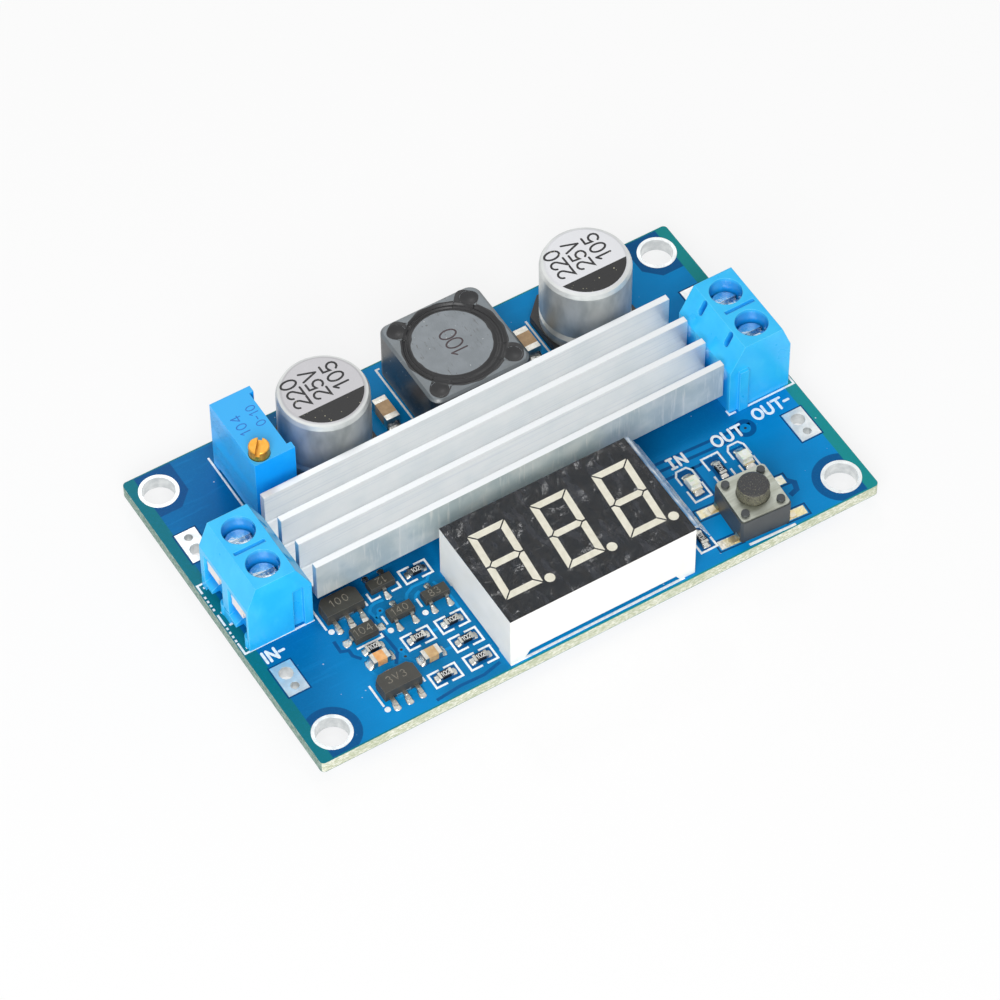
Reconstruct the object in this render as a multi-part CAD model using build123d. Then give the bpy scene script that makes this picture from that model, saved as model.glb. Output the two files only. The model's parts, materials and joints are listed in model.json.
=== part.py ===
"""DC-DC converter module with a three-digit meter, screw terminals and a finned heatsink.

Millimetres. +X runs from the input terminals to the output terminals, +Y to the back, +Z up.
The origin is under the middle of the board, level with the tips of the trimmed leads.
"""
from build123d import *
import math
import os

# Board
board_length = 68.0
board_width = 42.0
board_thickness = 1.6
board_corner_radius = 0.5
lead_reach = 1.4                # trimmed leads stand this far below the board
plating = 0.05                  # plated copper on pads and in holes
board_top = lead_reach + board_thickness

# Faces round small and hidden round things, which keep the model light
few_sides = 12
more_sides = 24
edge_round_share = 0.3          # where the middle corner of a two-step rounding lies

# Mounting holes
mounting_hole_diameter = 3.6
mounting_hole_inset = 2.9       # from both board edges to the hole's centre
mounting_ring_diameter = 4.4

# Wire pads, mirrored front to back and left to right
pad_length = 4.1
pad_width = 2.45
pad_inset = 2.57                # board end to pad centre
pad_offset = 10.0               # board centre line to pad centre
pad_large_hole = 1.6
pad_small_hole = 0.95
pad_large_hole_offset = 0.7     # from the pad centre towards the terminals
pad_small_hole_offset = 1.1     # from the pad centre away from them

# Solder joints under the board
joint_radius = 0.75             # beyond the lead's corner, at the board
joint_tip = 0.08                # beyond the lead's corner, at the tip
joint_height = 0.9

# Heatsink
sink_length = 50.0
fin_count = 4
fin_pitch = 3.52
fin_thickness = 0.75
fin_height = 4.2
sink_base_thickness = 1.0
fin_root_radius = 0.3
sink_x = 0.15
sink_y = 1.35
sink_turn = 0.5                 # degrees, as it sits slightly askew

# Power packages under the heatsink
power_x = (-14.0, 14.0)
power_y = 1.35
power_body_length = 6.1
power_body_width = 6.6
power_body_height = 2.3
power_tab_width = 5.2
power_tab_reach = 1.1
power_frame_thickness = 0.5
power_lead_width = 0.76
power_lead_pitch = 4.58
power_lead_reach = 2.4
adhesive_thickness = 0.4
adhesive_length = 6.8
adhesive_width = 6.0

# Bends of a stepped lead, as shares of its reach
lead_shoulder_share = 0.3
lead_knee_share = 0.45

# Controller under the heatsink
controller_x = 0.0
controller_y = 1.35
controller_length = 4.9
controller_width = 3.9
controller_height = 1.5
controller_lead_count = 4       # on each side
controller_lead_pitch = 1.27
controller_lead_width = 0.42
controller_lead_reach = 1.05
controller_lead_exit = 0.68     # height at which they leave the body
controller_lead_thickness = 0.2
chip_stand_off = 0.1            # gap under the controller's and the meter chip's bodies

# Electrolytic capacitors
input_capacitor_place = (-13.35, 13.55)
output_capacitor_place = (19.3, 14.0)
can_diameter = 10.0
can_wall = 0.25
can_top = 10.3                  # above the board
can_edge_radius = 0.7
can_inner_edge = 0.5
bead_height = 2.7               # centre of the rolled bead, above the board
bead_depth = 0.35
bead_width = 0.9
winding_clearance = 0.3         # between winding and can
winding_top_gap = 0.6
base_side = 10.3
base_thickness = 1.1
base_recess = 0.3
base_corner_cut = 2.2
cap_lead_width = 1.1
cap_lead_thickness = 0.2
cap_lead_reach = 0.5            # beyond the base
cap_wire_diameter = 0.8
cap_wire_offset = 2.3           # from the can's axis

# Inductor
inductor_place = (2.95, 14.0)
inductor_side = 12.2
inductor_height = 7.0
inductor_corner_radius = 1.3
inductor_edge_radius = 0.3
shield_bore_diameter = 11.3
core_diameter = 8.9
core_shift = (-0.15, 0.3)       # the core is glued in slightly off centre
core_hub_diameter = 4.4
core_flange_thickness = 1.2
core_setback = 0.15             # core top below the shield top
inductor_terminal_thickness = 0.3
inductor_terminal_length = 3.0
inductor_terminal_width = 5.4
inductor_terminal_inset = 0.4   # from the shield's side
winding_inset = 0.3             # from the flanges' rim
glue_depth = 0.8
glue_tab_diameter = 2.0
glue_tab_depth = 0.5
glue_tab_sink = 0.1             # tab top below the shield top
glue_tab_share = 0.35           # of a tab's width, by which its centre lies outside the bore

# Ceramic capacitors, the large ones along Y and the small ones along X
large_ceramic_length = 3.2
large_ceramic_width = 1.6
large_ceramic_height = 1.5
small_ceramic_length = 2.0
small_ceramic_width = 1.25
small_ceramic_height = 0.9
large_ceramic_places = ((-5.6, 14.15), (12.1, 14.3))
small_ceramic_places = ((-22.4, -12.95), (-17.65, -15.3))
ceramic_cap_share = 0.22        # end cap length against the part's length
end_cap_thickness = 0.06

# Chip resistors
resistor_length = 1.6
resistor_width = 0.8
resistor_height = 0.45
resistor_cap_length = 0.3
resistor_places_along_x = (
    (-13.5, -5.15), (-13.55, -12.6), (-17.6, -12.6), (-13.5, -15.35),
    (-13.45, -18.1), (-17.65, -18.1), (-22.25, -11.3),
)
resistor_places_along_y = ((20.7, -10.6), (14.1, -17.25))

# Small transistors (x, y, quarter turns) and the small diode
transistor_places = ((-17.55, -4.85, 2), (-17.6, -9.0, 0), (-13.4, -8.95, 0))
transistor_length = 2.9
transistor_width = 1.3
transistor_height = 1.0
transistor_lead_width = 0.4
transistor_lead_reach = 0.55
transistor_lead_pitch = 1.9
transistor_lead_thickness = 0.15
transistor_lead_exit = 0.4
transistor_stand_off = 0.05     # gap under the body
lead_seat = 0.01                # leads start this far inside a package's widest line
diode_place = (-22.2, -9.35)
diode_length = 2.7
diode_width = 1.6
diode_height = 1.05
diode_lead_width = 0.6
diode_lead_reach = 0.5

# Regulators in flat packages: centre of the moulded body
regulator_places = ((-22.4, -16.55), (-22.55, -5.2))
regulator_length = 4.5
regulator_width = 2.5
regulator_height = 1.5
regulator_lead_pitch = 1.5
regulator_lead_width = 0.46
regulator_lead_thickness = 0.4
regulator_lead_reach = 1.1
regulator_tab_width = 1.7
regulator_tab_reach = 0.5
regulator_corner_cut = 0.55     # off the two corners beside the tab
mould_draft = 5.0               # degrees, on moulded package sides
mould_part_share = 0.45         # height of their parting line against the body's height

# Indicator lamps
lamp_places = ((17.2, -10.8), (23.75, -10.75))
lamp_length = 2.0
lamp_width = 1.25
lamp_base_thickness = 0.3
lamp_lens_length = 1.2
lamp_lens_height = 0.55
lamp_lens_draft = 4.0           # degrees

# Display
display_x = -0.05
display_y = -13.5
display_length = 22.5
display_width = 14.0
display_height = 7.5
display_wall = 0.9
face_thickness = 0.12
digit_count = 3
digit_pitch = 7.5
digit_height = 9.0
digit_width = 4.45
digit_slant = 4.8               # degrees
digit_shift = (-0.04, 0.06)     # middle digit's centre from the display's centre
segment_thickness = 0.8
segment_gap = 0.16
point_diameter = 1.15
point_offset = (2.69, -4.38)    # from the digit's centre
backing_top = 2.7
backing_bottom = 1.4
front_relief_height = 0.95
front_relief_slope = 0.6
front_relief_end = 1.75         # unrelieved length at each end of the front wall
side_relief_height = 0.3
side_relief_end = 2.2
display_pin_side = 0.5
display_pin_pitch = 2.54
display_pin_rows = 10.16
display_pins_per_row = 6
film_thickness = 0.06
film_bend_radius = 0.6          # where it leaves the face's right edge
film_flap = 2.6                 # free length past the bend
film_slope = 60.0               # degrees, how steeply the flap hangs
film_edge_inset = 0.1           # from the face's front and back edges

# Meter chip in the display's hollow back
meter_chip_length = 6.5
meter_chip_width = 4.4
meter_chip_height = 0.9
meter_chip_lead_count = 10      # on each side
meter_chip_lead_pitch = 0.65
meter_chip_lead_width = 0.22
meter_chip_lead_reach = 1.0
meter_chip_lead_exit = 0.42
meter_chip_lead_thickness = 0.15

# Button
switch_place = (20.5, -17.1)
switch_turn = -3.5              # degrees
switch_side = 6.0
switch_base_height = 3.2
switch_base_chamfer = 0.25
switch_cavity_diameter = 4.9
switch_floor = 1.0
cover_side = 5.8
cover_thickness = 0.3
cover_corner_radius = 0.4
rivet_diameter = 0.9
rivet_height = 0.35             # above the cover
rivet_offset = 2.13             # from the centre along both sides
plunger_diameter = 3.5
plunger_clearance = 0.05
plunger_top = 5.0               # above the board
plunger_flange_diameter = 4.5
plunger_flange_height = 0.7
plunger_edge_radius = 0.3
plunger_play = 0.02             # above its flange, and under its nub
nub_diameter = 1.6
dome_thickness = 0.1
dome_rise = 0.55
dome_crown_diameter = 1.6
dome_rim_width = 0.25
dome_clearance = 0.1            # to the cavity's wall
switch_lead_width = 0.85
switch_lead_thickness = 0.2
switch_lead_offset = 2.25
switch_lead_reach = 1.5
switch_lead_exit = 0.5
switch_notch_depth = 0.6        # where a lead leaves the base
switch_notch_height = 0.7

# Trimmer
trimmer_place = (-22.15, 13.52)
trimmer_width = 4.3
trimmer_length = 9.53
trimmer_height = 10.0
trimmer_rib_reach = 0.53
trimmer_rib_width = 0.85
trimmer_foot_height = 0.4
trimmer_foot_length = 1.1
trimmer_screw_offset = (-0.88, -3.5)
trimmer_screw_diameter = 2.25
trimmer_screw_top = 11.3        # above the board
trimmer_screw_depth = 2.8       # into the body
trimmer_screw_clearance = 0.05
trimmer_screw_end_gap = 0.1
trimmer_screw_chamfer = 0.1
trimmer_slot_width = 0.5
trimmer_slot_depth = 0.55
trimmer_slot_angle = 52.0
trimmer_pin_diameter = 0.5
trimmer_pin_pitch = 2.54

# Screw terminal blocks, two poles each
terminal_x = 29.8               # board centre to the screw axes
output_terminal_y = 0.3
pole_count = 2
pole_pitch = 5.0
block_height = 10.0
wire_side_reach = 3.42          # screw axis to the wire face
inner_side_reach = 4.16         # screw axis to the inner face
top_wire_side = 2.3             # screw axis to the flat top's edges
top_inner_side = 2.4
wire_chamfer_bottom = 6.9
inner_chamfer_bottom = 6.5
well_diameter = 3.6
pole_gap_width = 0.45
pole_gap_depth = 0.4
pole_gap_wire_end = 0.35        # from the flat top's wire-side edge
pole_gap_inner_end = 0.7        # from its inner edge
cavity_length = 4.0
cavity_width = 3.7
cavity_floor = 1.4
cavity_top = 5.65
entry_width = 3.8
entry_offset = -0.2             # entry centre from the pole's centre
entry_top = 6.15
entry_sill = 1.45               # sill height at the wire face
entry_floor = 2.2               # where the sloping sill meets the contact
notch_width = 2.4               # open part under the sill beside each foot
notch_depth = 0.9
notch_height = 1.95
sill_relief = 0.95              # free height under the sill
sill_relief_depth = 1.3
foot_radius = 0.55
foot_height = 1.7
foot_inset = 0.33               # foot centre from the entry's side
probe_slot_length = 1.95
probe_slot_width = 0.75
probe_slot_depth = 1.0
probe_slot_rise = 0.73          # share of the shoulder's height at the slot's centre
tongue_width = 1.1
tongue_reach = 0.4
tongue_x = 2.55                 # from the screw axis towards the inner face
tongue_height = 6.4
tongue_clearance = 0.08

# Clamp inside each pole
clamp_pitch = 0.45              # thread pitch of the clamp screw
clamp_turns = 2.0               # from open to closed
contact_width = 3.6
contact_plate = 0.6
contact_arch_bottom = 5.0
screw_diameter = 2.5
screw_head_diameter = 3.3
screw_head_height = 1.2
screw_head_gap = 0.4            # under the head when the clamp is closed
screw_head_chamfer = 0.15
screw_slot_width = 0.6
screw_slot_depth = 0.7
screw_clearance = 0.08          # in the contact's threaded hole
guard_plate = 0.4
guard_top = 4.9                 # the screw's tip rests here
guard_lip_recess = 0.35         # wire face to the guard's lip
guard_lip_bottom = 3.55
guard_lip_top = 6.0
guard_lip_width = 2.3
guard_lip_offset = 0.4          # lip centre from the pole's centre
guard_lip_clearance = 0.15      # behind the lip
guard_width = 3.3
guard_rear = 1.0                # plate end beyond the screw axis
terminal_pin_width = 1.0
terminal_pin_thickness = 0.8
terminal_pin_clearance = 0.05

on_floor = (Align.CENTER, Align.CENTER, Align.MIN)
ends = (-1, 1)


def slab(length, width, height, x=0.0, y=0.0, z=0.0):
    """A block standing on height z, centred on x and y."""
    return Pos(x, y, z) * Box(length, width, height, align=on_floor)


def rod(diameter, height, x=0.0, y=0.0, z=0.0):
    """An upright cylinder standing on height z."""
    return Pos(x, y, z) * Cylinder(diameter / 2, height, align=on_floor)


def drum(diameter, height, sides, x=0.0, y=0.0, z=0.0):
    """An upright prism of many sides in place of a cylinder, standing on height z."""
    section = RegularPolygon(diameter / 2, sides)
    return Pos(x, y, z) * extrude(section, amount=height)


def lathe(*points):
    """A solid of revolution about Z from (radius, height) points."""
    return revolve(Plane.XZ * Polygon(*points, align=None), axis=Axis.Z)


def along_y(points, width):
    """A prism of (x, z) points, centred across Y."""
    return extrude(Plane.XZ * Polygon(*points, align=None), amount=width / 2, both=True)


def moulded(outline, height, z=0.0):
    """A moulded package body whose sides lean in above and below its parting line."""
    part_line = height * mould_part_share
    lower = extrude(outline, amount=-part_line, taper=mould_draft)
    upper = extrude(outline, amount=height - part_line, taper=mould_draft)
    return Pos(0, 0, z + part_line) * (lower + upper)


def gull_lead(exit_height, reach, thickness, width):
    """A lead that leaves a package at x = 0, steps down and runs out flat on the board."""
    shoulder = reach * lead_shoulder_share
    knee = reach * lead_knee_share
    return along_y(
        [
            (0, exit_height), (0, exit_height + thickness),
            (shoulder + thickness / 2, exit_height + thickness),
            (knee + thickness / 2, thickness), (reach, thickness),
            (reach, 0), (knee - thickness / 2, 0), (shoulder - thickness / 2, exit_height),
        ],
        width,
    )


def turned(quarters):
    """A turn about Z by quarter turns."""
    return Rot(0, 0, 90 * quarters)


def write(name, *pieces):
    """Write one node, a single solid or a group of separate solids."""
    solids = [solid for piece in pieces for solid in piece.solids()]
    shape = solids[0] if len(solids) == 1 else Compound(solids)
    export_step(shape, f"parts/{name}.step")


# Places that several parts share

def mounting_places():
    x = board_length / 2 - mounting_hole_inset
    y = board_width / 2 - mounting_hole_inset
    return [(sx * x, sy * y) for sx in ends for sy in ends]


def pad_places():
    """Centre of each wire pad, with the side of the board that it is on."""
    x = board_length / 2 - pad_inset
    return [(sx * x, sy * pad_offset, sy) for sx in ends for sy in ends]


def pole_offsets():
    return [(index - (pole_count - 1) / 2) * pole_pitch for index in range(pole_count)]


def terminal_frames():
    """Place of the input block and of the output block, which is turned half round."""
    return [
        Pos(-terminal_x, 0, board_top),
        Pos(terminal_x, output_terminal_y, board_top) * turned(2),
    ]


def switch_frame():
    return Pos(*switch_place, board_top) * Rot(0, 0, switch_turn)


def trimmer_frame():
    return Pos(*trimmer_place, board_top)


def display_frame():
    return Pos(display_x, display_y, board_top)


def trimmer_pin_places():
    x, y = trimmer_place
    return [(x, y + step * trimmer_pin_pitch) for step in (-1, 0, 1)]


def display_pin_places():
    start = -(display_pins_per_row - 1) / 2 * display_pin_pitch
    columns = [start + index * display_pin_pitch for index in range(display_pins_per_row)]
    rows = [side * display_pin_rows / 2 for side in ends]
    places = [(display_x + x, display_y + y) for y in rows for x in columns]
    return places[:-1]          # one place in the back row has no pin


def terminal_pin_places():
    places = []
    for frame in terminal_frames():
        for offset in pole_offsets():
            centre = (frame * Pos(0, offset, 0)).position
            places.append((centre.X, centre.Y))
    return places


def through_leads():
    """Each through lead as (x, y, width from corner to corner, solid up to the board's top)."""
    flat = slab(terminal_pin_thickness, terminal_pin_width, board_top)
    flat_corner = math.hypot(terminal_pin_thickness, terminal_pin_width)
    wire = drum(trimmer_pin_diameter, board_top, few_sides)
    square = slab(display_pin_side, display_pin_side, board_top)
    square_corner = display_pin_side * math.sqrt(2)
    leads = [(x, y, flat_corner, flat) for x, y in terminal_pin_places()]
    leads += [(x, y, trimmer_pin_diameter, wire) for x, y in trimmer_pin_places()]
    leads += [(x, y, square_corner, square) for x, y in display_pin_places()]
    return leads


# Board and its plating

def pad_holes(sy, extra, height, z):
    """The large and small hole of one wire pad, about the pad's centre."""
    large = drum(pad_large_hole + extra, height, few_sides, 0, -sy * pad_large_hole_offset, z)
    small = drum(pad_small_hole + extra, height, few_sides, 0, sy * pad_small_hole_offset, z)
    return large + small


def circuit_board():
    """Board whose plated and soldered lead holes are closed round their leads."""
    outline = RectangleRounded(board_length, board_width, board_corner_radius)
    board = Pos(0, 0, lead_reach) * extrude(outline, amount=board_thickness)
    for x, y in mounting_places():
        board -= rod(mounting_hole_diameter + 2 * plating, board_thickness, x, y, lead_reach)
    for x, y, sy in pad_places():
        board -= Pos(x, y) * pad_holes(sy, 2 * plating, board_thickness, lead_reach)
    for x, y, _, lead in through_leads():
        board -= Pos(x, y) * lead
    return board


def hole_liner():
    """Plated barrel with a ring above and below the board."""
    inner = mounting_hole_diameter / 2
    outer = inner + plating
    ring = mounting_ring_diameter / 2
    low = lead_reach
    high = board_top
    return lathe(
        (inner, low - plating), (ring, low - plating), (ring, low), (outer, low),
        (outer, high), (ring, high), (ring, high + plating), (inner, high + plating),
    )


def wire_pad(sy):
    """Plated pad on both faces of the board, joined through its two holes."""
    height = board_thickness + 2 * plating
    low = lead_reach - plating
    pad = slab(pad_width, pad_length, plating, z=low)
    pad += slab(pad_width, pad_length, plating, z=board_top)
    pad += pad_holes(sy, 2 * plating, height, low)
    return pad - pad_holes(sy, 0, height, low)


def solder_joint(corner, lead):
    """Solder that stands as a cone round a lead under the board."""
    wide = RegularPolygon(corner / 2 + joint_radius, few_sides)
    tip = Pos(0, 0, -joint_height) * RegularPolygon(corner / 2 + joint_tip, few_sides)
    return Pos(0, 0, lead_reach) * loft([wide, tip], ruled=True) - lead


# Power stage

def heatsink_profile():
    """Section across Y: a base strip with fins on its edges and between."""
    width = (fin_count - 1) * fin_pitch + fin_thickness
    height = sink_base_thickness + fin_height
    low = (Align.CENTER, Align.MIN)
    profile = Rectangle(width, sink_base_thickness, align=low)
    offsets = [(index - (fin_count - 1) / 2) * fin_pitch for index in range(fin_count)]
    for offset in offsets:
        profile += Pos(offset, 0) * Rectangle(fin_thickness, height, align=low)
    roots = [
        corner for corner in profile.vertices()
        if abs(corner.Y - sink_base_thickness) < 1e-6 and abs(corner.X) < width / 2 - 1e-6
    ]
    return fillet(roots, fin_root_radius)


def heatsink():
    rest = board_top + power_body_height + adhesive_thickness
    bar = extrude(Plane.YZ * heatsink_profile(), amount=sink_length / 2, both=True)
    return Pos(sink_x, sink_y, rest) * Rot(0, 0, sink_turn) * bar


def power_frames():
    """The left package faces left and the right one faces right."""
    left, right = power_x
    return [
        Pos(left, power_y, board_top),
        Pos(right, power_y, board_top) * turned(2),
    ]


def power_body():
    body = moulded(Rectangle(power_body_length, power_body_width), power_body_height)
    slug = slab(power_body_length, power_tab_width, power_frame_thickness)
    return body - slug


def power_frame_pieces():
    """Metal tab with its slug, and the two outer leads."""
    half = power_body_length / 2
    tab_length = power_body_length + power_tab_reach
    tab = slab(tab_length, power_tab_width, power_frame_thickness, -power_tab_reach / 2)
    lead = gull_lead(
        power_frame_thickness, power_lead_reach, power_frame_thickness, power_lead_width
    )
    edge = half - lead_seat
    leads = [Pos(edge, side * power_lead_pitch / 2, 0.0) * lead for side in ends]
    return [tab] + leads


def thermal_adhesive():
    return slab(adhesive_length, adhesive_width, adhesive_thickness, z=power_body_height)


def lead_row(count, pitch, face, width, reach, exit_height, thickness):
    """Leads along X on both long sides of a package, face being its half width."""
    lead = gull_lead(exit_height, reach, thickness, width)
    leads = []
    for index in range(count):
        x = (index - (count - 1) / 2) * pitch
        leads.append(Pos(x, face, 0) * turned(1) * lead)
        leads.append(Pos(x, -face, 0) * turned(3) * lead)
    return leads


def controller_body():
    return moulded(Rectangle(controller_length, controller_width), controller_height, chip_stand_off)


def controller_leads():
    return lead_row(
        controller_lead_count, controller_lead_pitch, controller_width / 2,
        controller_lead_width, controller_lead_reach, controller_lead_exit,
        controller_lead_thickness,
    )


# Electrolytic capacitors

def capacitor_frames():
    places = (input_capacitor_place, output_capacitor_place)
    return [Pos(x, y, board_top) for x, y in places]


def can_bottom():
    return base_thickness - base_recess


def capacitor_can():
    """Drawn aluminium can, open below, with a rolled bead that grips the bung."""
    radius = can_diameter / 2
    low = can_bottom()
    bead = [
        (radius, low), (radius, bead_height - bead_width / 2),
        (radius - bead_depth, bead_height), (radius, bead_height + bead_width / 2),
    ]
    middle = edge_round_share * can_edge_radius
    shell = lathe(
        (0, low), *bead, (radius, can_top - can_edge_radius), (radius - middle, can_top - middle),
        (radius - can_edge_radius, can_top), (0, can_top),
    )
    inner = radius - can_wall
    ceiling = can_top - can_wall
    hollow = lathe(
        (0, low), *[(r - can_wall, z) for r, z in bead],
        (inner, ceiling - can_inner_edge), (inner - can_inner_edge, ceiling), (0, ceiling),
    )
    return shell - hollow


def capacitor_winding():
    low = bead_height + bead_width / 2
    diameter = can_diameter - 2 * can_wall - 2 * winding_clearance
    return drum(diameter, can_top - can_wall - winding_top_gap - low, more_sides, z=low)


def capacitor_bung():
    """Rubber bung, waisted where the bead grips it."""
    radius = can_diameter / 2 - can_wall
    low = can_bottom()
    bead_low = bead_height - bead_width / 2
    grip = radius - bead_depth
    return lathe((0, low), (radius, low), (radius, bead_low), (grip, bead_height), (0, bead_height))


def capacitor_base():
    """Square base with two cut corners, a seat for the can and grooves for the leads."""
    half = base_side / 2
    cut = half - base_corner_cut
    outline = Polygon(
        (-half, -half), (half, -half), (half, cut), (cut, half), (-cut, half), (-half, cut),
        align=None,
    )
    base = extrude(outline, amount=base_thickness)
    base -= rod(can_diameter, base_recess, z=can_bottom())
    for side in ends:
        groove = slab(cap_lead_width, half, cap_lead_thickness, 0, side * half / 2)
        base -= groove
        base -= drum(cap_lead_width, can_bottom(), few_sides, 0, side * cap_wire_offset)
    return base


def capacitor_leads():
    """Flat terminals along Y, each with its wire up into the bung."""
    half = base_side / 2
    leads = []
    for side in ends:
        inner = cap_wire_offset - cap_lead_width / 2
        length = half + cap_lead_reach - inner
        flat = slab(cap_lead_width, length, cap_lead_thickness, 0, side * (inner + length / 2))
        wire = drum(cap_wire_diameter, can_bottom(), few_sides, 0, side * cap_wire_offset)
        leads.append(flat + wire)
    return leads


# Inductor

def inductor_frame():
    return Pos(*inductor_place, board_top)


def glue_tab_offset():
    """Centre of each corner tab of adhesive, from the inductor's centre."""
    return (shield_bore_diameter / 2 + glue_tab_diameter * glue_tab_share) / math.sqrt(2)


def glue_tabs(height, z):
    reach = glue_tab_offset()
    tabs = [rod(glue_tab_diameter, height, sx * reach, sy * reach, z) for sx in ends for sy in ends]
    return tabs[0] + tabs[1] + tabs[2] + tabs[3]


def inductor_shield():
    low = inductor_terminal_thickness
    height = inductor_height - low
    outline = RectangleRounded(inductor_side, inductor_side, inductor_corner_radius)
    shield = extrude(outline, amount=height)
    shield = chamfer(shield.faces().sort_by(Axis.Z)[-1].edges(), inductor_edge_radius)
    shield = Pos(0, 0, low) * shield
    shield -= rod(shield_bore_diameter, height, z=low)
    return shield - glue_tabs(glue_tab_depth, inductor_height - glue_tab_depth)


def inductor_core():
    """Drum core: two flanges on a hub, standing on the terminals."""
    low = inductor_terminal_thickness
    high = inductor_height - core_setback
    core = drum(core_hub_diameter, high - low, more_sides, z=low)
    core += drum(core_diameter, core_flange_thickness, more_sides, z=low)
    return core + rod(core_diameter, core_flange_thickness, z=high - core_flange_thickness)


def inductor_winding():
    low = inductor_terminal_thickness + core_flange_thickness
    high = inductor_height - core_setback - core_flange_thickness
    winding = drum(core_diameter - 2 * winding_inset, high - low, more_sides, z=low)
    return winding - drum(core_hub_diameter, high - low, more_sides, z=low)


def inductor_glue():
    """Adhesive in the gap between core and shield, with a tab at each corner."""
    top = inductor_height - glue_tab_depth
    height = glue_tab_depth - glue_tab_sink
    disc = rod(shield_bore_diameter, glue_depth, z=inductor_height - core_setback - glue_depth)
    ring = disc + glue_tabs(height, top)
    return ring - rod(core_diameter, inductor_height, *core_shift)


def inductor_terminals():
    x = inductor_side / 2 - inductor_terminal_length / 2 - inductor_terminal_inset
    return [
        slab(inductor_terminal_length, inductor_terminal_width, inductor_terminal_thickness, side * x)
        for side in ends
    ]


# Small parts

def chip_body(length, width, height, cap):
    """Ceramic block whose ends are stepped down for their metal caps."""
    skin = end_cap_thickness
    middle = slab(length - 2 * cap, width, height)
    core = slab(length - 2 * skin, width - 2 * skin, height - 2 * skin, z=skin)
    return middle + core


def chip_caps(length, width, height, cap):
    """Two metal caps folded round the ends of a chip."""
    skin = end_cap_thickness
    shell = slab(length, width, height)
    shell -= slab(length - 2 * cap, width, height)
    shell -= slab(length - 2 * skin, width - 2 * skin, height - 2 * skin, z=skin)
    return shell


def ceramic_sizes():
    """Each ceramic capacitor as (place, turn, size)."""
    large = (large_ceramic_length, large_ceramic_width, large_ceramic_height)
    small = (small_ceramic_length, small_ceramic_width, small_ceramic_height)
    parts = [(place, 1, large) for place in large_ceramic_places]
    return parts + [(place, 0, small) for place in small_ceramic_places]


def ceramics(make):
    made = []
    for (x, y), quarters, (length, width, height) in ceramic_sizes():
        chip = make(length, width, height, length * ceramic_cap_share)
        made.append(Pos(x, y, board_top) * turned(quarters) * chip)
    return made


def resistors(make):
    chip = make(resistor_length, resistor_width, resistor_height, resistor_cap_length)
    made = [Pos(x, y, board_top) * chip for x, y in resistor_places_along_x]
    made += [Pos(x, y, board_top) * turned(1) * chip for x, y in resistor_places_along_y]
    return made


def transistor_frames():
    return [Pos(x, y, board_top) * turned(quarters) for x, y, quarters in transistor_places]


def diode_frame():
    return Pos(*diode_place, board_top)


def transistor_body():
    outline = Rectangle(transistor_length, transistor_width)
    return moulded(outline, transistor_height - transistor_stand_off, transistor_stand_off)


def diode_body():
    outline = Rectangle(diode_length, diode_width)
    return moulded(outline, diode_height - transistor_stand_off, transistor_stand_off)


def transistor_leads():
    """Two leads towards -Y and one towards +Y."""
    lead = gull_lead(
        transistor_lead_exit, transistor_lead_reach,
        transistor_lead_thickness, transistor_lead_width,
    )
    face = transistor_width / 2 - lead_seat
    half = transistor_lead_pitch / 2
    leads = [Pos(x, -face, 0) * turned(3) * lead for x in (-half, half)]
    return leads + [Pos(0, face, 0) * turned(1) * lead]


def diode_leads():
    lead = gull_lead(
        transistor_lead_exit, diode_lead_reach, transistor_lead_thickness, diode_lead_width
    )
    face = diode_length / 2 - lead_seat
    return [Pos(face, 0, 0) * lead, Pos(-face, 0, 0) * turned(2) * lead]


def regulator_frames():
    return [Pos(x, y, board_top) for x, y in regulator_places]


def regulator_body():
    """Moulded body over its lead frame, its corners beside the tab cut off."""
    half_length = regulator_length / 2
    half_width = regulator_width / 2
    cut = regulator_corner_cut
    outline = Polygon(
        (-half_length, -half_width), (half_length, -half_width), (half_length, half_width - cut),
        (half_length - cut, half_width), (cut - half_length, half_width),
        (-half_length, half_width - cut), align=None,
    )
    body = moulded(outline, regulator_height)
    slug = slab(regulator_tab_width, regulator_width, regulator_lead_thickness)
    return body - slug


def regulator_frame_pieces():
    """Middle lead and tab in one strip, and the two outer leads."""
    half = regulator_width / 2
    strip = slab(regulator_tab_width, regulator_width + regulator_tab_reach,
                 regulator_lead_thickness, 0, regulator_tab_reach / 2)
    strip += slab(regulator_lead_width, regulator_lead_reach, regulator_lead_thickness,
                  0, -half - regulator_lead_reach / 2)
    outer = [
        slab(regulator_lead_width, regulator_lead_reach, regulator_lead_thickness,
             side * regulator_lead_pitch, lead_seat - half - regulator_lead_reach / 2)
        for side in ends
    ]
    return [strip] + outer


def lamp_frames():
    return [Pos(x, y, board_top) * turned(1) for x, y in lamp_places]


def lamp_base():
    end = (lamp_length - lamp_lens_length) / 2
    return slab(lamp_length - end, lamp_width, lamp_base_thickness)


def lamp_terminals():
    end = (lamp_length - lamp_lens_length) / 4
    x = lamp_length / 2 - end / 2
    return [slab(end, lamp_width, lamp_base_thickness, side * x) for side in ends]


def lamp_lens():
    outline = Rectangle(lamp_lens_length, lamp_width)
    lens = extrude(outline, amount=lamp_lens_height, taper=lamp_lens_draft)
    return Pos(0, 0, lamp_base_thickness) * lens


# Display

def slanted(x, y):
    """Lean a point of a digit to the right with its height."""
    return (x + y * math.tan(math.radians(digit_slant)), y)


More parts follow.
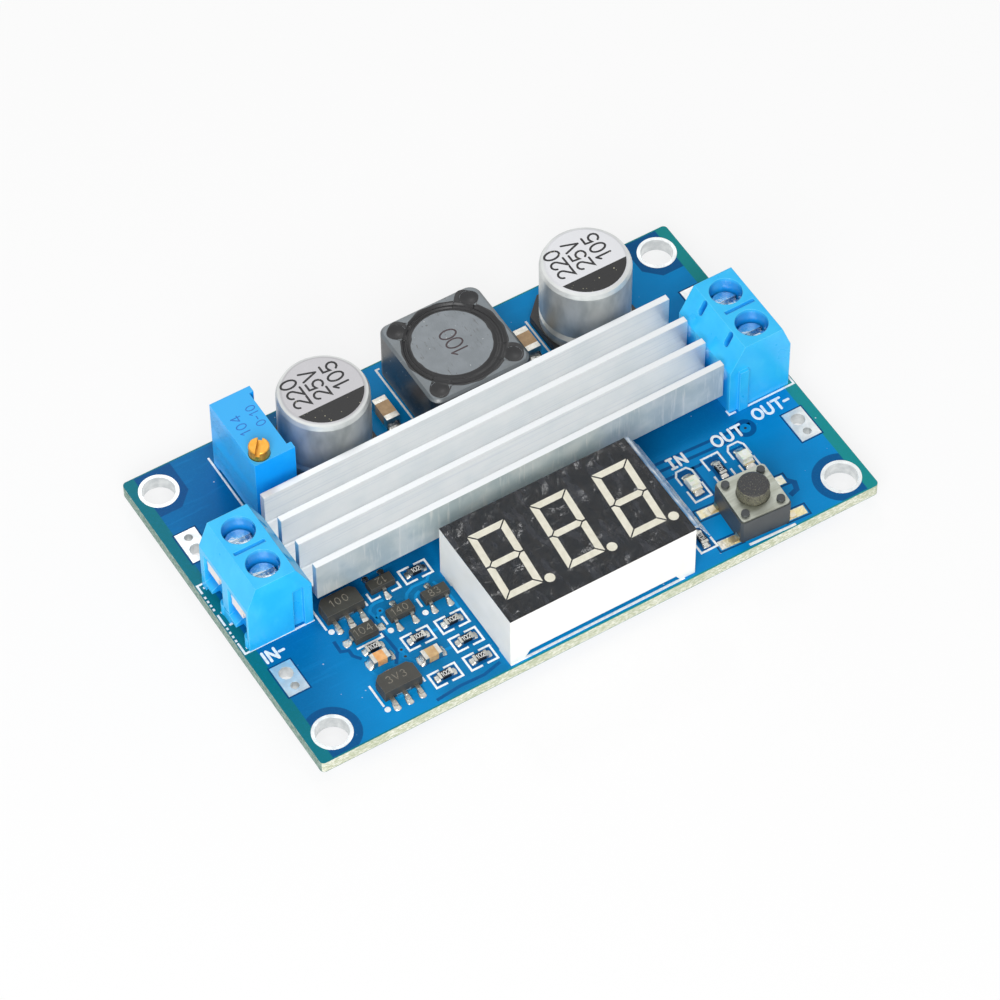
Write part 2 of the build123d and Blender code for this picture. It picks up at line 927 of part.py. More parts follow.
def segment_points(index):
    """Corner points of one bar of a digit, before the slant: three level bars, then four upright."""
    thick = segment_thickness
    half_thick = thick / 2
    right = digit_width / 2
    top = digit_height / 2
    gap = segment_gap / math.sqrt(2)
    if index == 0:
        half = right - half_thick - gap
        return [(-half, 0), (half_thick - half, half_thick), (half - half_thick, half_thick),
                (half, 0), (half - half_thick, -half_thick), (half_thick - half, -half_thick)]
    if index < 3:
        side = 1 if index == 1 else -1
        outer = right - gap
        inner = outer - thick
        return [(-outer, side * top), (outer, side * top),
                (inner, side * (top - thick)), (-inner, side * (top - thick))]
    across = -1 if index in (3, 4) else 1
    side = -1 if index in (3, 5) else 1
    bar = [(right, gap), (right, top - gap), (right - thick, top - thick - gap),
           (right - thick, half_thick + gap), (right - half_thick, gap)]
    return [(across * x, side * y) for x, y in bar]


def digit_centres():
    dx, dy = digit_shift
    middle = (digit_count - 1) / 2
    return [(dx + (index - middle) * digit_pitch, dy) for index in range(digit_count)]


def lit_shapes():
    """Outline of every bar and point on the display's face."""
    shapes = []
    px, py = point_offset
    for cx, cy in digit_centres():
        for index in range(7):
            points = [slanted(x, y) for x, y in segment_points(index)]
            bar = Polygon(*points, align=None)
            shapes.append(Pos(cx, cy) * bar)
        shapes.append(Pos(cx + px, cy + py) * RegularPolygon(point_diameter / 2, few_sides))
    return shapes


def display_segments():
    """Diffusers that rise from the backing to the face."""
    height = display_height - backing_top
    return [
        Pos(0, 0, backing_top) * extrude(shape, amount=height, dir=(0, 0, 1))
        for shape in lit_shapes()
    ]


def display_face():
    """Black printed face round the segments."""
    face = Rectangle(display_length, display_width)
    for shape in lit_shapes():
        face -= shape
    return Pos(0, 0, display_height - face_thickness) * extrude(face, amount=face_thickness)


def display_shell():
    """White reflector block, hollow behind, with relieved wall feet."""
    height = display_height - face_thickness
    shell = slab(display_length, display_width, height)
    shell -= slab(display_length - 2 * display_wall, display_width - 2 * display_wall, backing_top)
    for segment in display_segments():
        shell -= segment
    half = display_length / 2 - front_relief_end
    slope = front_relief_slope
    front = along_y(
        [(-half, 0), (-half + slope, front_relief_height),
         (half - slope, front_relief_height), (half, 0)],
        display_wall,
    )
    for side in ends:
        shell -= Pos(0, side * (display_width - display_wall) / 2, 0) * front
        shell -= slab(display_wall, display_width - 2 * side_relief_end, side_relief_height,
                      side * (display_length - display_wall) / 2)
    return shell


def display_pin(x, y):
    """Square pin from inside the backing to below the board."""
    top = board_top + backing_bottom
    return slab(display_pin_side, display_pin_side, top, x, y)


def display_backing():
    """Circuit strip that closes the back of the reflector."""
    length = display_length - 2 * display_wall
    width = display_width - 2 * display_wall
    return slab(length, width, backing_top - backing_bottom, z=backing_bottom)


def display_film():
    """Clear protective film over the face, with a flap that hangs past the right edge."""
    level = display_height + film_thickness / 2
    left = (-display_length / 2, level)
    bend = (display_length / 2, level)
    slope = math.radians(film_slope)
    run = film_bend_radius * math.sin(slope)
    drop = film_bend_radius * (1 - math.cos(slope))
    knee = (bend[0] + run, bend[1] - drop)
    tip = (knee[0] + film_flap * math.cos(slope), knee[1] - film_flap * math.sin(slope))
    with BuildLine() as path:
        Line(left, bend)
        TangentArc(bend, knee, tangent=(1, 0))
        Line(knee, tip)
    strip = trace(path.line, film_thickness)
    return extrude(Plane.XZ * strip, amount=display_width / 2 - film_edge_inset, both=True)


def meter_chip_body():
    return moulded(Rectangle(meter_chip_length, meter_chip_width), meter_chip_height, chip_stand_off)


def meter_chip_leads():
    return lead_row(
        meter_chip_lead_count, meter_chip_lead_pitch, meter_chip_width / 2,
        meter_chip_lead_width, meter_chip_lead_reach, meter_chip_lead_exit,
        meter_chip_lead_thickness,
    )


# Button

def rivet_places():
    return [(sx * rivet_offset, sy * rivet_offset) for sx in ends for sy in ends]


def switch_base():
    """Moulded base with the dome's cavity and four rivet posts."""
    base = slab(switch_side, switch_side, switch_base_height)
    base = chamfer(base.edges().filter_by(Axis.Z), switch_base_chamfer)
    base -= rod(switch_cavity_diameter, switch_base_height, z=switch_floor)
    post = cover_thickness + rivet_height
    for x, y in rivet_places():
        base += drum(rivet_diameter, post, few_sides, x, y, switch_base_height)
    notch_x = (switch_side - switch_notch_depth) / 2
    for side in ends:
        for offset in ends:
            base -= slab(switch_notch_depth, switch_lead_width, switch_notch_height,
                         side * notch_x, offset * switch_lead_offset)
    return base


def switch_cover():
    """Metal plate held by the rivet posts."""
    cover = extrude(RectangleRounded(cover_side, cover_side, cover_corner_radius),
                    amount=cover_thickness)
    cover = Pos(0, 0, switch_base_height) * cover
    opening = plunger_diameter + 2 * plunger_clearance
    cover -= rod(opening, cover_thickness, z=switch_base_height)
    for x, y in rivet_places():
        cover -= drum(rivet_diameter, cover_thickness, few_sides, x, y, switch_base_height)
    return cover


def switch_dome():
    """Snap dome on the cavity floor, a shallow cone with a flat crown."""
    rim = switch_cavity_diameter / 2 - dome_clearance
    crown = dome_crown_diameter / 2
    top = switch_floor + dome_rise
    return lathe(
        (0, top - dome_thickness), (0, top), (crown, top), (rim, switch_floor),
        (rim - dome_rim_width, switch_floor), (crown, top - dome_thickness),
    )


def switch_plunger():
    """Round plunger held under the cover by its flange, with a nub over the dome."""
    flange_top = switch_base_height - plunger_play
    flange_low = flange_top - plunger_flange_height
    nub_low = switch_floor + dome_rise + plunger_play
    flange = plunger_flange_diameter / 2
    shaft = plunger_diameter / 2
    middle = edge_round_share * plunger_edge_radius
    return lathe(
        (0, nub_low), (nub_diameter / 2, nub_low), (nub_diameter / 2, flange_low),
        (flange, flange_low), (flange, flange_top), (shaft, flange_top),
        (shaft, plunger_top - plunger_edge_radius), (shaft - middle, plunger_top - middle),
        (shaft - plunger_edge_radius, plunger_top), (0, plunger_top),
    )


def switch_leads():
    """Four leads that step out and down from the base's two sides."""
    lead = gull_lead(switch_lead_exit, switch_lead_reach, switch_lead_thickness, switch_lead_width)
    face = switch_side / 2 - switch_notch_depth
    leads = []
    for offset in ends:
        y = offset * switch_lead_offset
        leads.append(Pos(face, y, 0) * lead)
        leads.append(Pos(-face, y, 0) * turned(2) * lead)
    return leads


# Trimmer

def trimmer_body():
    """Sealed body with end ribs on one side, low feet and the screw's bore."""
    body = slab(trimmer_width, trimmer_length, trimmer_height)
    rib_x = trimmer_width / 2 + trimmer_rib_reach / 2
    rib_y = trimmer_length / 2 - trimmer_rib_width / 2
    for side in ends:
        body += slab(trimmer_rib_reach, trimmer_rib_width, trimmer_height, rib_x, side * rib_y)
    clear = trimmer_length - 2 * trimmer_foot_length
    body -= slab(trimmer_width + 2 * trimmer_rib_reach, clear, trimmer_foot_height)
    x, y = trimmer_screw_offset
    bore = trimmer_screw_diameter + 2 * trimmer_screw_clearance
    low = trimmer_height - trimmer_screw_depth - trimmer_screw_end_gap
    return body - rod(bore, trimmer_height - low, x, y, low)


def trimmer_screw():
    x, y = trimmer_screw_offset
    low = trimmer_height - trimmer_screw_depth
    screw = rod(trimmer_screw_diameter, trimmer_screw_top - low, z=low)
    rim = screw.edges().filter_by(GeomType.CIRCLE).sort_by(Axis.Z)[-1]
    screw = chamfer(rim, trimmer_screw_chamfer)
    slot = slab(2 * trimmer_screw_diameter, trimmer_slot_width, trimmer_slot_depth,
                z=trimmer_screw_top - trimmer_slot_depth)
    return Pos(x, y) * (screw - Rot(0, 0, trimmer_slot_angle) * slot)


def trimmer_pin(x, y):
    return drum(trimmer_pin_diameter, board_top + trimmer_foot_height, few_sides, x, y)


# Screw terminals. Each block is modelled with its screw axes on x = 0 and its wires towards -X.

def block_blank():
    """Outline from the side: sloped shoulders on the wire side and the inner side."""
    width = pole_count * pole_pitch
    return along_y(
        [
            (-wire_side_reach, 0), (-wire_side_reach, wire_chamfer_bottom),
            (-top_wire_side, block_height), (top_inner_side, block_height),
            (inner_side_reach, inner_chamfer_bottom), (inner_side_reach, 0),
        ],
        width,
    )


def pole_hollow(offset):
    """Everything that is cut from one pole: screw well, clamp space and wire entry."""
    hollow = rod(well_diameter, block_height, 0, offset, cavity_top)
    cavity = slab(cavity_length, cavity_width, cavity_top - cavity_floor, 0, offset, cavity_floor)
    inside = -cavity_length / 2
    lip_back = -wire_side_reach + guard_lip_recess + guard_plate + guard_lip_clearance
    entry = along_y(
        [
            (-wire_side_reach, entry_sill), (-wire_side_reach, entry_top),
            (lip_back, entry_top), (inside, cavity_top), (inside, entry_floor),
        ],
        entry_width,
    )
    return hollow + cavity + Pos(0, offset + entry_offset, 0) * entry


def sill_reliefs(offset):
    """Free space under one pole's sill and the open notch beside its foot."""
    centre = offset + entry_offset
    relief = slab(sill_relief_depth, entry_width, sill_relief,
                  -wire_side_reach + sill_relief_depth / 2, centre)
    notch = slab(notch_depth, notch_width, notch_height, -wire_side_reach + notch_depth / 2,
                 centre - entry_width / 2 + notch_width / 2)
    return relief + notch


def pole_foot(offset):
    """Rounded foot beside the wall of one pole."""
    y = offset + entry_offset - entry_width / 2 + foot_inset
    return drum(2 * foot_radius, foot_height, more_sides, -wire_side_reach + notch_depth / 2, y)


def probe_slot(offset):
    """Upright slot in the inner shoulder of one pole."""
    rise = block_height - inner_chamfer_bottom
    run = inner_side_reach - top_inner_side
    tilt = math.degrees(math.atan2(run, rise))
    slot_x = inner_side_reach - probe_slot_rise * run
    slot_z = inner_chamfer_bottom + probe_slot_rise * rise
    slot = extrude(SlotOverall(probe_slot_length, probe_slot_width), amount=probe_slot_depth,
                   both=True)
    return Pos(slot_x, offset, slot_z) * Rot(0, 90 - tilt, 0) * slot


def terminal_housing():
    housing = block_blank()
    half = pole_count * pole_pitch / 2
    gap_start = -top_wire_side + pole_gap_wire_end
    gap_length = top_inner_side - pole_gap_inner_end - gap_start
    for boundary in range(1, pole_count):
        y = -half + boundary * pole_pitch
        housing -= slab(gap_length, pole_gap_width, block_height, gap_start + gap_length / 2, y,
                        block_height - pole_gap_depth)
    for offset in pole_offsets():
        housing -= pole_hollow(offset) + sill_reliefs(offset)
        housing -= probe_slot(offset)
        housing -= slab(terminal_pin_thickness + 2 * terminal_pin_clearance,
                        terminal_pin_width + 2 * terminal_pin_clearance, cavity_floor, 0, offset)
    for offset in pole_offsets():
        housing += pole_foot(offset)
    groove_width = tongue_width + 2 * tongue_clearance
    groove_reach = tongue_reach + tongue_clearance
    housing -= slab(groove_width, groove_reach, tongue_height + tongue_clearance,
                    tongue_x, -half + groove_reach / 2)
    housing += slab(tongue_width, tongue_reach, tongue_height, tongue_x, half + tongue_reach / 2)
    return housing


def clamp_contact(offset):
    """Folded contact: floor plate, back and arch with the screw's hole, on its pin."""
    back = cavity_length / 2
    arch_top = contact_arch_bottom + contact_plate
    strip = along_y(
        [
            (-back, cavity_floor), (back, cavity_floor), (back, arch_top), (-back, arch_top),
            (-back, contact_arch_bottom), (back - contact_plate, contact_arch_bottom),
            (back - contact_plate, cavity_floor + contact_plate),
            (-back, cavity_floor + contact_plate),
        ],
        contact_width,
    )
    hole = screw_diameter + 2 * screw_clearance
    strip -= drum(hole, contact_plate, more_sides, 0, 0, contact_arch_bottom)
    pin_length = cavity_floor + board_top
    strip += slab(terminal_pin_thickness, terminal_pin_width, pin_length, 0, 0,
                  cavity_floor - pin_length)
    return Pos(0, offset, 0) * strip


def wire_guard(offset):
    """Plate under the screw's tip, with a lip that shows in the wire entry."""
    lip_face = -wire_side_reach + guard_lip_recess
    length = guard_rear - lip_face
    plate = slab(length, guard_width, guard_plate, guard_rear - length / 2, 0,
                 guard_top - guard_plate)
    lip = slab(guard_plate, guard_lip_width, guard_lip_top - guard_lip_bottom,
               lip_face + guard_plate / 2, guard_lip_offset, guard_lip_bottom)
    return Pos(0, offset, 0) * (plate + lip)


def clamp_screw(offset):
    """Screw whose tip rests on the guard, its head clear of the contact by the clamp's travel."""
    arch_top = contact_arch_bottom + contact_plate
    head_low = arch_top + clamp_pitch * clamp_turns + screw_head_gap
    head_top = head_low + screw_head_height
    head = screw_head_diameter / 2
    screw = lathe(
        (0, head_low), (head, head_low), (head, head_top - screw_head_chamfer),
        (head - screw_head_chamfer, head_top), (0, head_top),
    )
    screw += drum(screw_diameter, head_low - guard_top, few_sides, z=guard_top)
    slot = slab(2 * screw_head_diameter, screw_slot_width, screw_slot_depth,
                z=head_top - screw_slot_depth)
    return Pos(0, offset, 0) * (screw - slot)


# Assembly

def placed(frames, piece):
    return [frame * piece for frame in frames]


def write_board():
    write("circuit_board", circuit_board())
    write("mounting_hole_liners", *[Pos(x, y) * hole_liner() for x, y in mounting_places()])
    write("wire_pads", *[Pos(x, y) * wire_pad(sy) for x, y, sy in pad_places()])
    joints = [Pos(x, y) * solder_joint(corner, lead) for x, y, corner, lead in through_leads()]
    write("solder_joints", *joints)


def write_power_stage():
    write("heatsink", heatsink())
    frames = power_frames()
    write("heatsink_adhesive", *placed(frames, thermal_adhesive()))
    write("power_package_bodies", *placed(frames, power_body()))
    metal = [piece for item in power_frame_pieces() for piece in placed(frames, item)]
    write("power_package_lead_frames", *metal)
    controller = Pos(controller_x, controller_y, board_top)
    write("controller_body", controller * controller_body())
    write("controller_leads", *[controller * lead for lead in controller_leads()])


def write_capacitors():
    frames = capacitor_frames()
    for frame, name in zip(frames, ("input_capacitor_can", "output_capacitor_can")):
        write(name, frame * capacitor_can())
    write("capacitor_windings", *placed(frames, capacitor_winding()))
    write("capacitor_bungs", *placed(frames, capacitor_bung()))
    write("capacitor_bases", *placed(frames, capacitor_base()))
    leads = [piece for lead in capacitor_leads() for piece in placed(frames, lead)]
    write("capacitor_leads", *leads)
    write("ceramic_capacitor_bodies", *ceramics(chip_body))
    write("ceramic_capacitor_end_caps", *ceramics(chip_caps))


def write_inductor():
    frame = inductor_frame()
    write("inductor_shield", frame * inductor_shield())
    core_frame = frame * Pos(*core_shift)
    write("inductor_core", core_frame * inductor_core())
    write("inductor_winding", core_frame * inductor_winding())
    write("inductor_glue", frame * inductor_glue())
    write("inductor_terminals", *[frame * piece for piece in inductor_terminals()])


def write_small_parts():
    write("chip_resistor_bodies", *resistors(chip_body))
    write("chip_resistor_end_caps", *resistors(chip_caps))
    frames = transistor_frames()
    diode = diode_frame()
    write("small_transistor_bodies", *placed(frames, transistor_body()), diode * diode_body())
    leads = [piece for lead in transistor_leads() for piece in placed(frames, lead)]
    write("small_transistor_leads", *leads, *[diode * lead for lead in diode_leads()])
    frames = regulator_frames()
    write("regulator_bodies", *placed(frames, regulator_body()))
    metal = [piece for item in regulator_frame_pieces() for piece in placed(frames, item)]
    write("regulator_lead_frames", *metal)
    frames = lamp_frames()
    write("indicator_lamp_bases", *placed(frames, lamp_base()))
    write("indicator_lamp_lenses", *placed(frames, lamp_lens()))
    metal = [piece for item in lamp_terminals() for piece in placed(frames, item)]
    write("indicator_lamp_terminals", *metal)


def write_display():
    frame = display_frame()
    write("display_shell", frame * display_shell())
    write("display_face", frame * display_face())
    write("display_segments", *[frame * segment for segment in display_segments()])
    write("display_backing", frame * display_backing())
    write("display_pins", *[display_pin(x, y) for x, y in display_pin_places()])
    write("display_film", frame * display_film())
    write("meter_chip_body", frame * meter_chip_body())
    write("meter_chip_leads", *[frame * lead for lead in meter_chip_leads()])


def write_button():
    frame = switch_frame()
    write("switch_base", frame * switch_base())
    write("switch_cover", frame * switch_cover())
    write("switch_dome", frame * switch_dome())
    write("switch_plunger", frame * switch_plunger())
    write("switch_leads", *[frame * lead for lead in switch_leads()])


def write_trimmer():
    frame = trimmer_frame()
    write("trimmer_body", frame * trimmer_body())
    write("trimmer_screw", frame * trimmer_screw())
    write("trimmer_pins", *[trimmer_pin(x, y) for x, y in trimmer_pin_places()])


def write_terminals():
    contacts = []
    for name, frame in zip(("input", "output"), terminal_frames()):
        write(f"{name}_terminal_housing", frame * terminal_housing())
        for pole, offset in zip("ab", pole_offsets()):
            contacts.append(frame * clamp_contact(offset))
            write(f"{name}_wire_guard_{pole}", frame * wire_guard(offset))
            write(f"{name}_clamp_screw_{pole}", frame * clamp_screw(offset))
    write("clamp_contacts", *contacts)


os.makedirs("parts", exist_ok=True)
write_board()
write_power_stage()
write_capacitors()
write_inductor()
write_small_parts()
write_display()
write_button()
write_trimmer()
write_terminals()
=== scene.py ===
import json
import math

import bmesh
import bpy
import numpy as np
from mathutils import Matrix, Vector


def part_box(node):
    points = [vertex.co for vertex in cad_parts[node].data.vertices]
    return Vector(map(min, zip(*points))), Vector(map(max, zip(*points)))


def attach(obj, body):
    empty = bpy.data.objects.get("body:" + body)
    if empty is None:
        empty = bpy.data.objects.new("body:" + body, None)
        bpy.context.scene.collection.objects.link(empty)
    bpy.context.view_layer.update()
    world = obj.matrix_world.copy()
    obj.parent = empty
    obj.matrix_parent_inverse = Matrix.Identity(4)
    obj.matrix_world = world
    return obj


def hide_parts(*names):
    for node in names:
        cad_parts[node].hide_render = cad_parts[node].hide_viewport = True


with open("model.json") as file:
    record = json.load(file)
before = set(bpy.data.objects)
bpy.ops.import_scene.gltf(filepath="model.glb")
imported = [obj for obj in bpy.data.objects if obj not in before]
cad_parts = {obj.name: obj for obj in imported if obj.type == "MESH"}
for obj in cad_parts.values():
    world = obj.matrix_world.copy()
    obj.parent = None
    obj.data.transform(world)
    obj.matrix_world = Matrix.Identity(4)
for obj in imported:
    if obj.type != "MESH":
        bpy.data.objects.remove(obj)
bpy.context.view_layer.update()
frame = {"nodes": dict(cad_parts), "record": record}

nodes = frame["nodes"]
metre = 0.001  # lengths below are in millimetres, and meshes are in metres
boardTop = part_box("circuit_board")[1].z / metre
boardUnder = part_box("circuit_board")[0].z / metre
draws = np.random.default_rng(7)
quarters = [(sx, sy) for sx in (-1, 1) for sy in (-1, 1)]
print("frame loaded:", len(nodes), "nodes, board top at", round(boardTop, 3), "mm")


# Colours and shader signals

def shade(code):
    # the linear colour of a written one such as "0b7cc6", by the sRGB curve
    written = np.array([int(code[i:i + 2], 16) for i in (0, 2, 4)]) / 255
    linear = np.where(written <= 0.04045, written / 12.92, ((written + 0.055) / 1.055) ** 2.4)
    return (*linear.tolist(), 1.0)


class Signal:
    # one socket's value, so that shader maths reads as a plain expression
    def __init__(self, graph, socket):
        self.graph = graph
        self.socket = socket

    def maths(self, operation, *values):
        return self.graph.add("Math", {"operation": operation}, dict(enumerate(values)))

    def __add__(self, other):
        return self.maths("ADD", self, other)

    def __radd__(self, other):
        return self.maths("ADD", other, self)

    def __sub__(self, other):
        return self.maths("SUBTRACT", self, other)

    def __rsub__(self, other):
        return self.maths("SUBTRACT", other, self)

    def __mul__(self, other):
        return self.maths("MULTIPLY", self, other)

    def __rmul__(self, other):
        return self.maths("MULTIPLY", other, self)

    def __pow__(self, other):
        return self.maths("POWER", self, other)

    def __abs__(self):
        return self.maths("ABSOLUTE", self)

    def least(self, other):
        return self.maths("MINIMUM", self, other)

    def most(self, other):
        return self.maths("MAXIMUM", self, other)

    def rise(self, low, high):
        # 0 below low and 1 above high, with a smooth step between
        settings = {"interpolation_type": "SMOOTHSTEP"}
        return self.graph.add("MapRange", settings, {0: self, 1: low, 2: high})

    def spread(self, low, high):
        # a 0 to 1 signal brought to the range from low to high
        return low + (high - low) * self


class Graph:
    # a tree of nodes whose sockets take signals, written colours, numbers or vectors
    def __init__(self, tree):
        self.tree = tree

    def plug(self, socket, value):
        if isinstance(value, Signal):
            self.tree.links.new(value.socket, socket)
        elif isinstance(value, str):
            socket.default_value = shade(value)
        elif value is not None:
            socket.default_value = value

    def add(self, kind, settings=None, inputs=None, output=0):
        # a node of a kind such as TexNoise, its settings first and then its sockets
        node = self.tree.nodes.new("ShaderNode" + kind)
        for key, value in (settings or {}).items():
            setattr(node, key, value)
        for key, value in (inputs or {}).items():
            self.plug(node.inputs[key], value)
        return Signal(self, node.outputs[output])

    def seen(self):
        # 1 for rays that show the background: from the camera, off gloss and through glass
        camera, glossy, through = (self.add("LightPath", output=name) for name in (
            "Is Camera Ray", "Is Glossy Ray", "Is Transmission Ray"))
        return camera.most(glossy).most(through)


class Finish(Graph):
    # one procedural material, a Principled shader with its texture nodes
    def __init__(self, name, constants=None):
        self.material = bpy.data.materials.new(name)
        self.material.use_nodes = True
        super().__init__(self.material.node_tree)
        self.shader = self.tree.nodes["Principled BSDF"]
        self.coordinates = self.add("TexCoord", output="Object")
        for key, value in (constants or {}).items():
            self.plug(self.shader.inputs[key], value)

    def axes(self):
        # x, y and z of the point, in millimetres
        place = {0: self.coordinates}
        return [self.add("SeparateXYZ", None, place, n) * (1 / metre) for n in "XYZ"]

    def facing(self, axis="Z"):
        # how far the surface faces along an axis, from -1 to 1
        normal = self.add("NewGeometry", output="Normal")
        return self.add("SeparateXYZ", None, {0: normal}, axis)

    def scaled(self, size, stretch):
        # object coordinates in units of size millimetres, drawn out by stretch
        scale = [1 / (metre * size * s) for s in stretch]
        return self.add("Mapping", None, {"Vector": self.coordinates, "Scale": scale})

    def noise(self, size, stretch=(1, 1, 1), detail=2.0, roughness=0.5):
        # cloudy grain with features about size millimetres wide, drawn out by stretch
        inputs = {"Vector": self.scaled(size, stretch), "Scale": 1.0, "Detail": detail,
                  "Roughness": roughness}
        return self.add("TexNoise", None, inputs)

    def cells(self, size):
        # distance to the nearest of points scattered about size millimetres apart
        inputs = {"Vector": self.scaled(size, (1, 1, 1)), "Scale": 1.0}
        return self.add("TexVoronoi", None, inputs, "Distance")

    def mix(self, factor, first, second):
        return self.add("Mix", {"data_type": "RGBA"}, {0: factor, 6: first, 7: second}, 2)

    def tones(self, signal, first, second, low=0.3, high=0.7):
        # the first colour where the signal is under low, and the second where it is over high
        return self.mix(signal.rise(low, high), first, second)

    def rounded(self, radius):
        # the normal of edges rounded to this radius
        return self.add("Bevel", {"samples": 6}, {"Radius": radius * metre})

    def edges(self, radius):
        # towards 1 along edges and corners, where the rounded normal leaves the plain one
        plain = self.add("NewGeometry", output="Normal")
        inputs = {0: self.rounded(radius), 1: plain}
        dot = self.add("VectorMath", {"operation": "DOT_PRODUCT"}, inputs, 1)
        return (1 - dot).rise(0.01, 0.2)

    def bump(self, height, depth, edge=None):
        # a relief of depth millimetres where height goes from 0 to 1, and edges rounded
        inputs = {"Height": height, "Distance": depth * metre, "Strength": 1.0}
        if edge:
            inputs["Normal"] = self.rounded(edge)
        return self.add("Bump", None, inputs)

    def use(self, **signals):
        # the signals that vary over the surface, each to its socket
        names = {"colour": "Base Color", "rough": "Roughness", "metal": "Metallic",
                 "normal": "Normal", "alpha": "Alpha"}
        for key, value in signals.items():
            self.plug(self.shader.inputs[names[key]], value)
        return self


# Surfaces from arrays

def tube(rings, closed=False):
    # rings of points joined by quads; an open run of rings is closed by a face at each end
    rings = np.asarray(rings, float)
    count, around = rings.shape[:2]
    index = np.arange(count * around).reshape(count, around)
    index = np.hstack([index, index[:, :1]])
    ends = []
    if closed:
        index = np.vstack([index, index[:1]])
    else:
        ends = [index[0, :-1][::-1].tolist(), index[-1, :-1].tolist()]
    quads = np.stack([index[:-1, :-1], index[:-1, 1:], index[1:, 1:], index[1:, :-1]], -1)
    return rings.reshape(-1, 3), quads.reshape(-1, 4).tolist() + ends


def stroke(path, width, low, high, closed=False):
    # a low trapezium carried along a path; each ring stands on the corner's bisector
    path = np.asarray(path, float)
    after = np.roll(path, -1, 0) - path
    before = path - np.roll(path, 1, 0)
    if not closed:
        after[-1] = before[-1]
        before[0] = after[0]
    turn = np.array([[0, 1], [-1, 0]])
    sides = [(d / np.linalg.norm(d, axis=1, keepdims=True)) @ turn for d in (before, after)]
    across = sides[0] + sides[1]
    across /= (1 + (sides[0] * sides[1]).sum(1, keepdims=True))
    offsets = np.array([-0.5, -0.42, 0.42, 0.5]) * width
    heights = np.array([low, high, high, low])
    flat = path[:, None, :] + across[:, None, :] * offsets[None, :, None]
    heights = np.broadcast_to(heights, flat.shape[:2])[..., None]
    return tube(np.concatenate([flat, heights], -1), closed)


def outlined(outline, low, high, inset=0.0):
    # an outline carried up, its top drawn in towards the middle by inset
    outline = np.asarray(outline, float)
    away = outline - outline.mean(0)
    top = outline - inset * away / np.linalg.norm(away, axis=1, keepdims=True)
    levels = [np.column_stack([o, np.full(len(o), z)]) for o, z in ((outline, low), (top, high))]
    return tube(levels)


def circle(x, y, radius, count=20):
    # points at equal angles, each at the radius times the cosine and sine from the middle
    angle = np.arange(count) * 2 * math.pi / count
    return np.column_stack([x + radius * np.cos(angle), y + radius * np.sin(angle)])


def disc(x, y, radius, low, high, count=20):
    # a circle carried up
    return outlined(circle(x, y, radius, count), low, high, 0.02)


def annulus(x, y, inner, outer, low, high, count=32):
    # a ring with a flat section, turned about its middle
    angle = np.arange(count) * 2 * math.pi / count
    radii = np.array([inner, inner, outer, outer])
    heights = np.broadcast_to(np.array([low, high, high, low]), (count, 4))
    across = radii[None, :] * np.cos(angle)[:, None] + x
    along = radii[None, :] * np.sin(angle)[:, None] + y
    return tube(np.stack([across, along, heights], -1), closed=True)


def rectangle(x, y, length, width):
    # the four corners, anticlockwise
    a, b = length / 2, width / 2
    return [(x - a, y - b), (x + a, y - b), (x + a, y + b), (x - a, y + b)]


def turnedAbout(points, x, y, degrees):
    # points turned by degrees about the origin and moved to x and y
    angle = math.radians(degrees)
    turn = np.array([[math.cos(angle), math.sin(angle)], [-math.sin(angle), math.cos(angle)]])
    return np.asarray(points, float) @ turn + (x, y)


def mound(x, y, degrees, size):
    # solder over a pad: arches across it, whose height falls from the joint to the rim as the
    # square of what is left of the length, and whose ends are rounded like an ellipse
    length, nearWidth, farWidth, nearHeight, farHeight = size
    low, roundEnd = boardTop + 0.01, 0.28
    along = np.linspace(0, 1, 12)[:, None]
    across = np.linspace(-1, 1, 11)[None, :]
    beyond = np.clip((along - 1 + roundEnd) / roundEnd, 0, 1)
    close = np.sqrt(np.clip(1 - beyond ** 2, 0.02, 1))
    half = (nearWidth + (farWidth - nearWidth) * along ** 0.6) / 2 * close
    height = farHeight + (nearHeight - farHeight) * (1 - along) ** 2.2
    rough = 1 + 0.05 * draws.standard_normal((12, 11))
    height = height * close ** 0.5 * np.clip(1 - np.abs(across) ** 3, 0, 1) ** 0.5 * rough
    flat = np.stack([np.broadcast_to(along * length, height.shape), half * across], -1)
    placed = turnedAbout(flat.reshape(-1, 2), x, y, degrees).reshape(*height.shape, 2)
    return tube(np.concatenate([placed, (low + height)[..., None]], -1))


def makePiece(name, shapes, finish, body="module", smooth=False, standsFor=()):
    # one mesh object of several closed shapes, in place and riding on its body
    points = np.concatenate([p for p, faces in shapes]) * metre
    starts = np.cumsum([0] + [len(p) for p, faces in shapes])
    faces = [[i + start for i in face] for start, (p, some) in zip(starts, shapes) for face in some]
    mesh = bpy.data.meshes.new(name)
    mesh.from_pydata(points.tolist(), [], faces)
    work = bmesh.new()
    work.from_mesh(mesh)
    bmesh.ops.recalc_face_normals(work, faces=work.faces)
    work.to_mesh(mesh)
    work.free()
    if smooth:
        mesh.shade_smooth()
        mesh.set_sharp_from_angle(angle=math.radians(50))
    mesh.materials.append(finish.material)
    piece = bpy.data.objects.new(name, mesh)
    bpy.context.scene.collection.objects.link(piece)
    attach(piece, body)
    if standsFor:
        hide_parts(*standsFor)
    print("piece", name, len(mesh.polygons), "faces")
    return piece


# Stroke letters and numerals in a box one unit tall

def arc(x, y, rx, ry, start, end, count=10):
    # points at equal steps of angle on an ellipse of radii rx and ry
    angle = np.radians(np.linspace(start, end, count))
    return np.column_stack([x + rx * np.cos(angle), y + ry * np.sin(angle)])


def join(*paths):
    return np.concatenate([np.asarray(p, float) for p in paths])


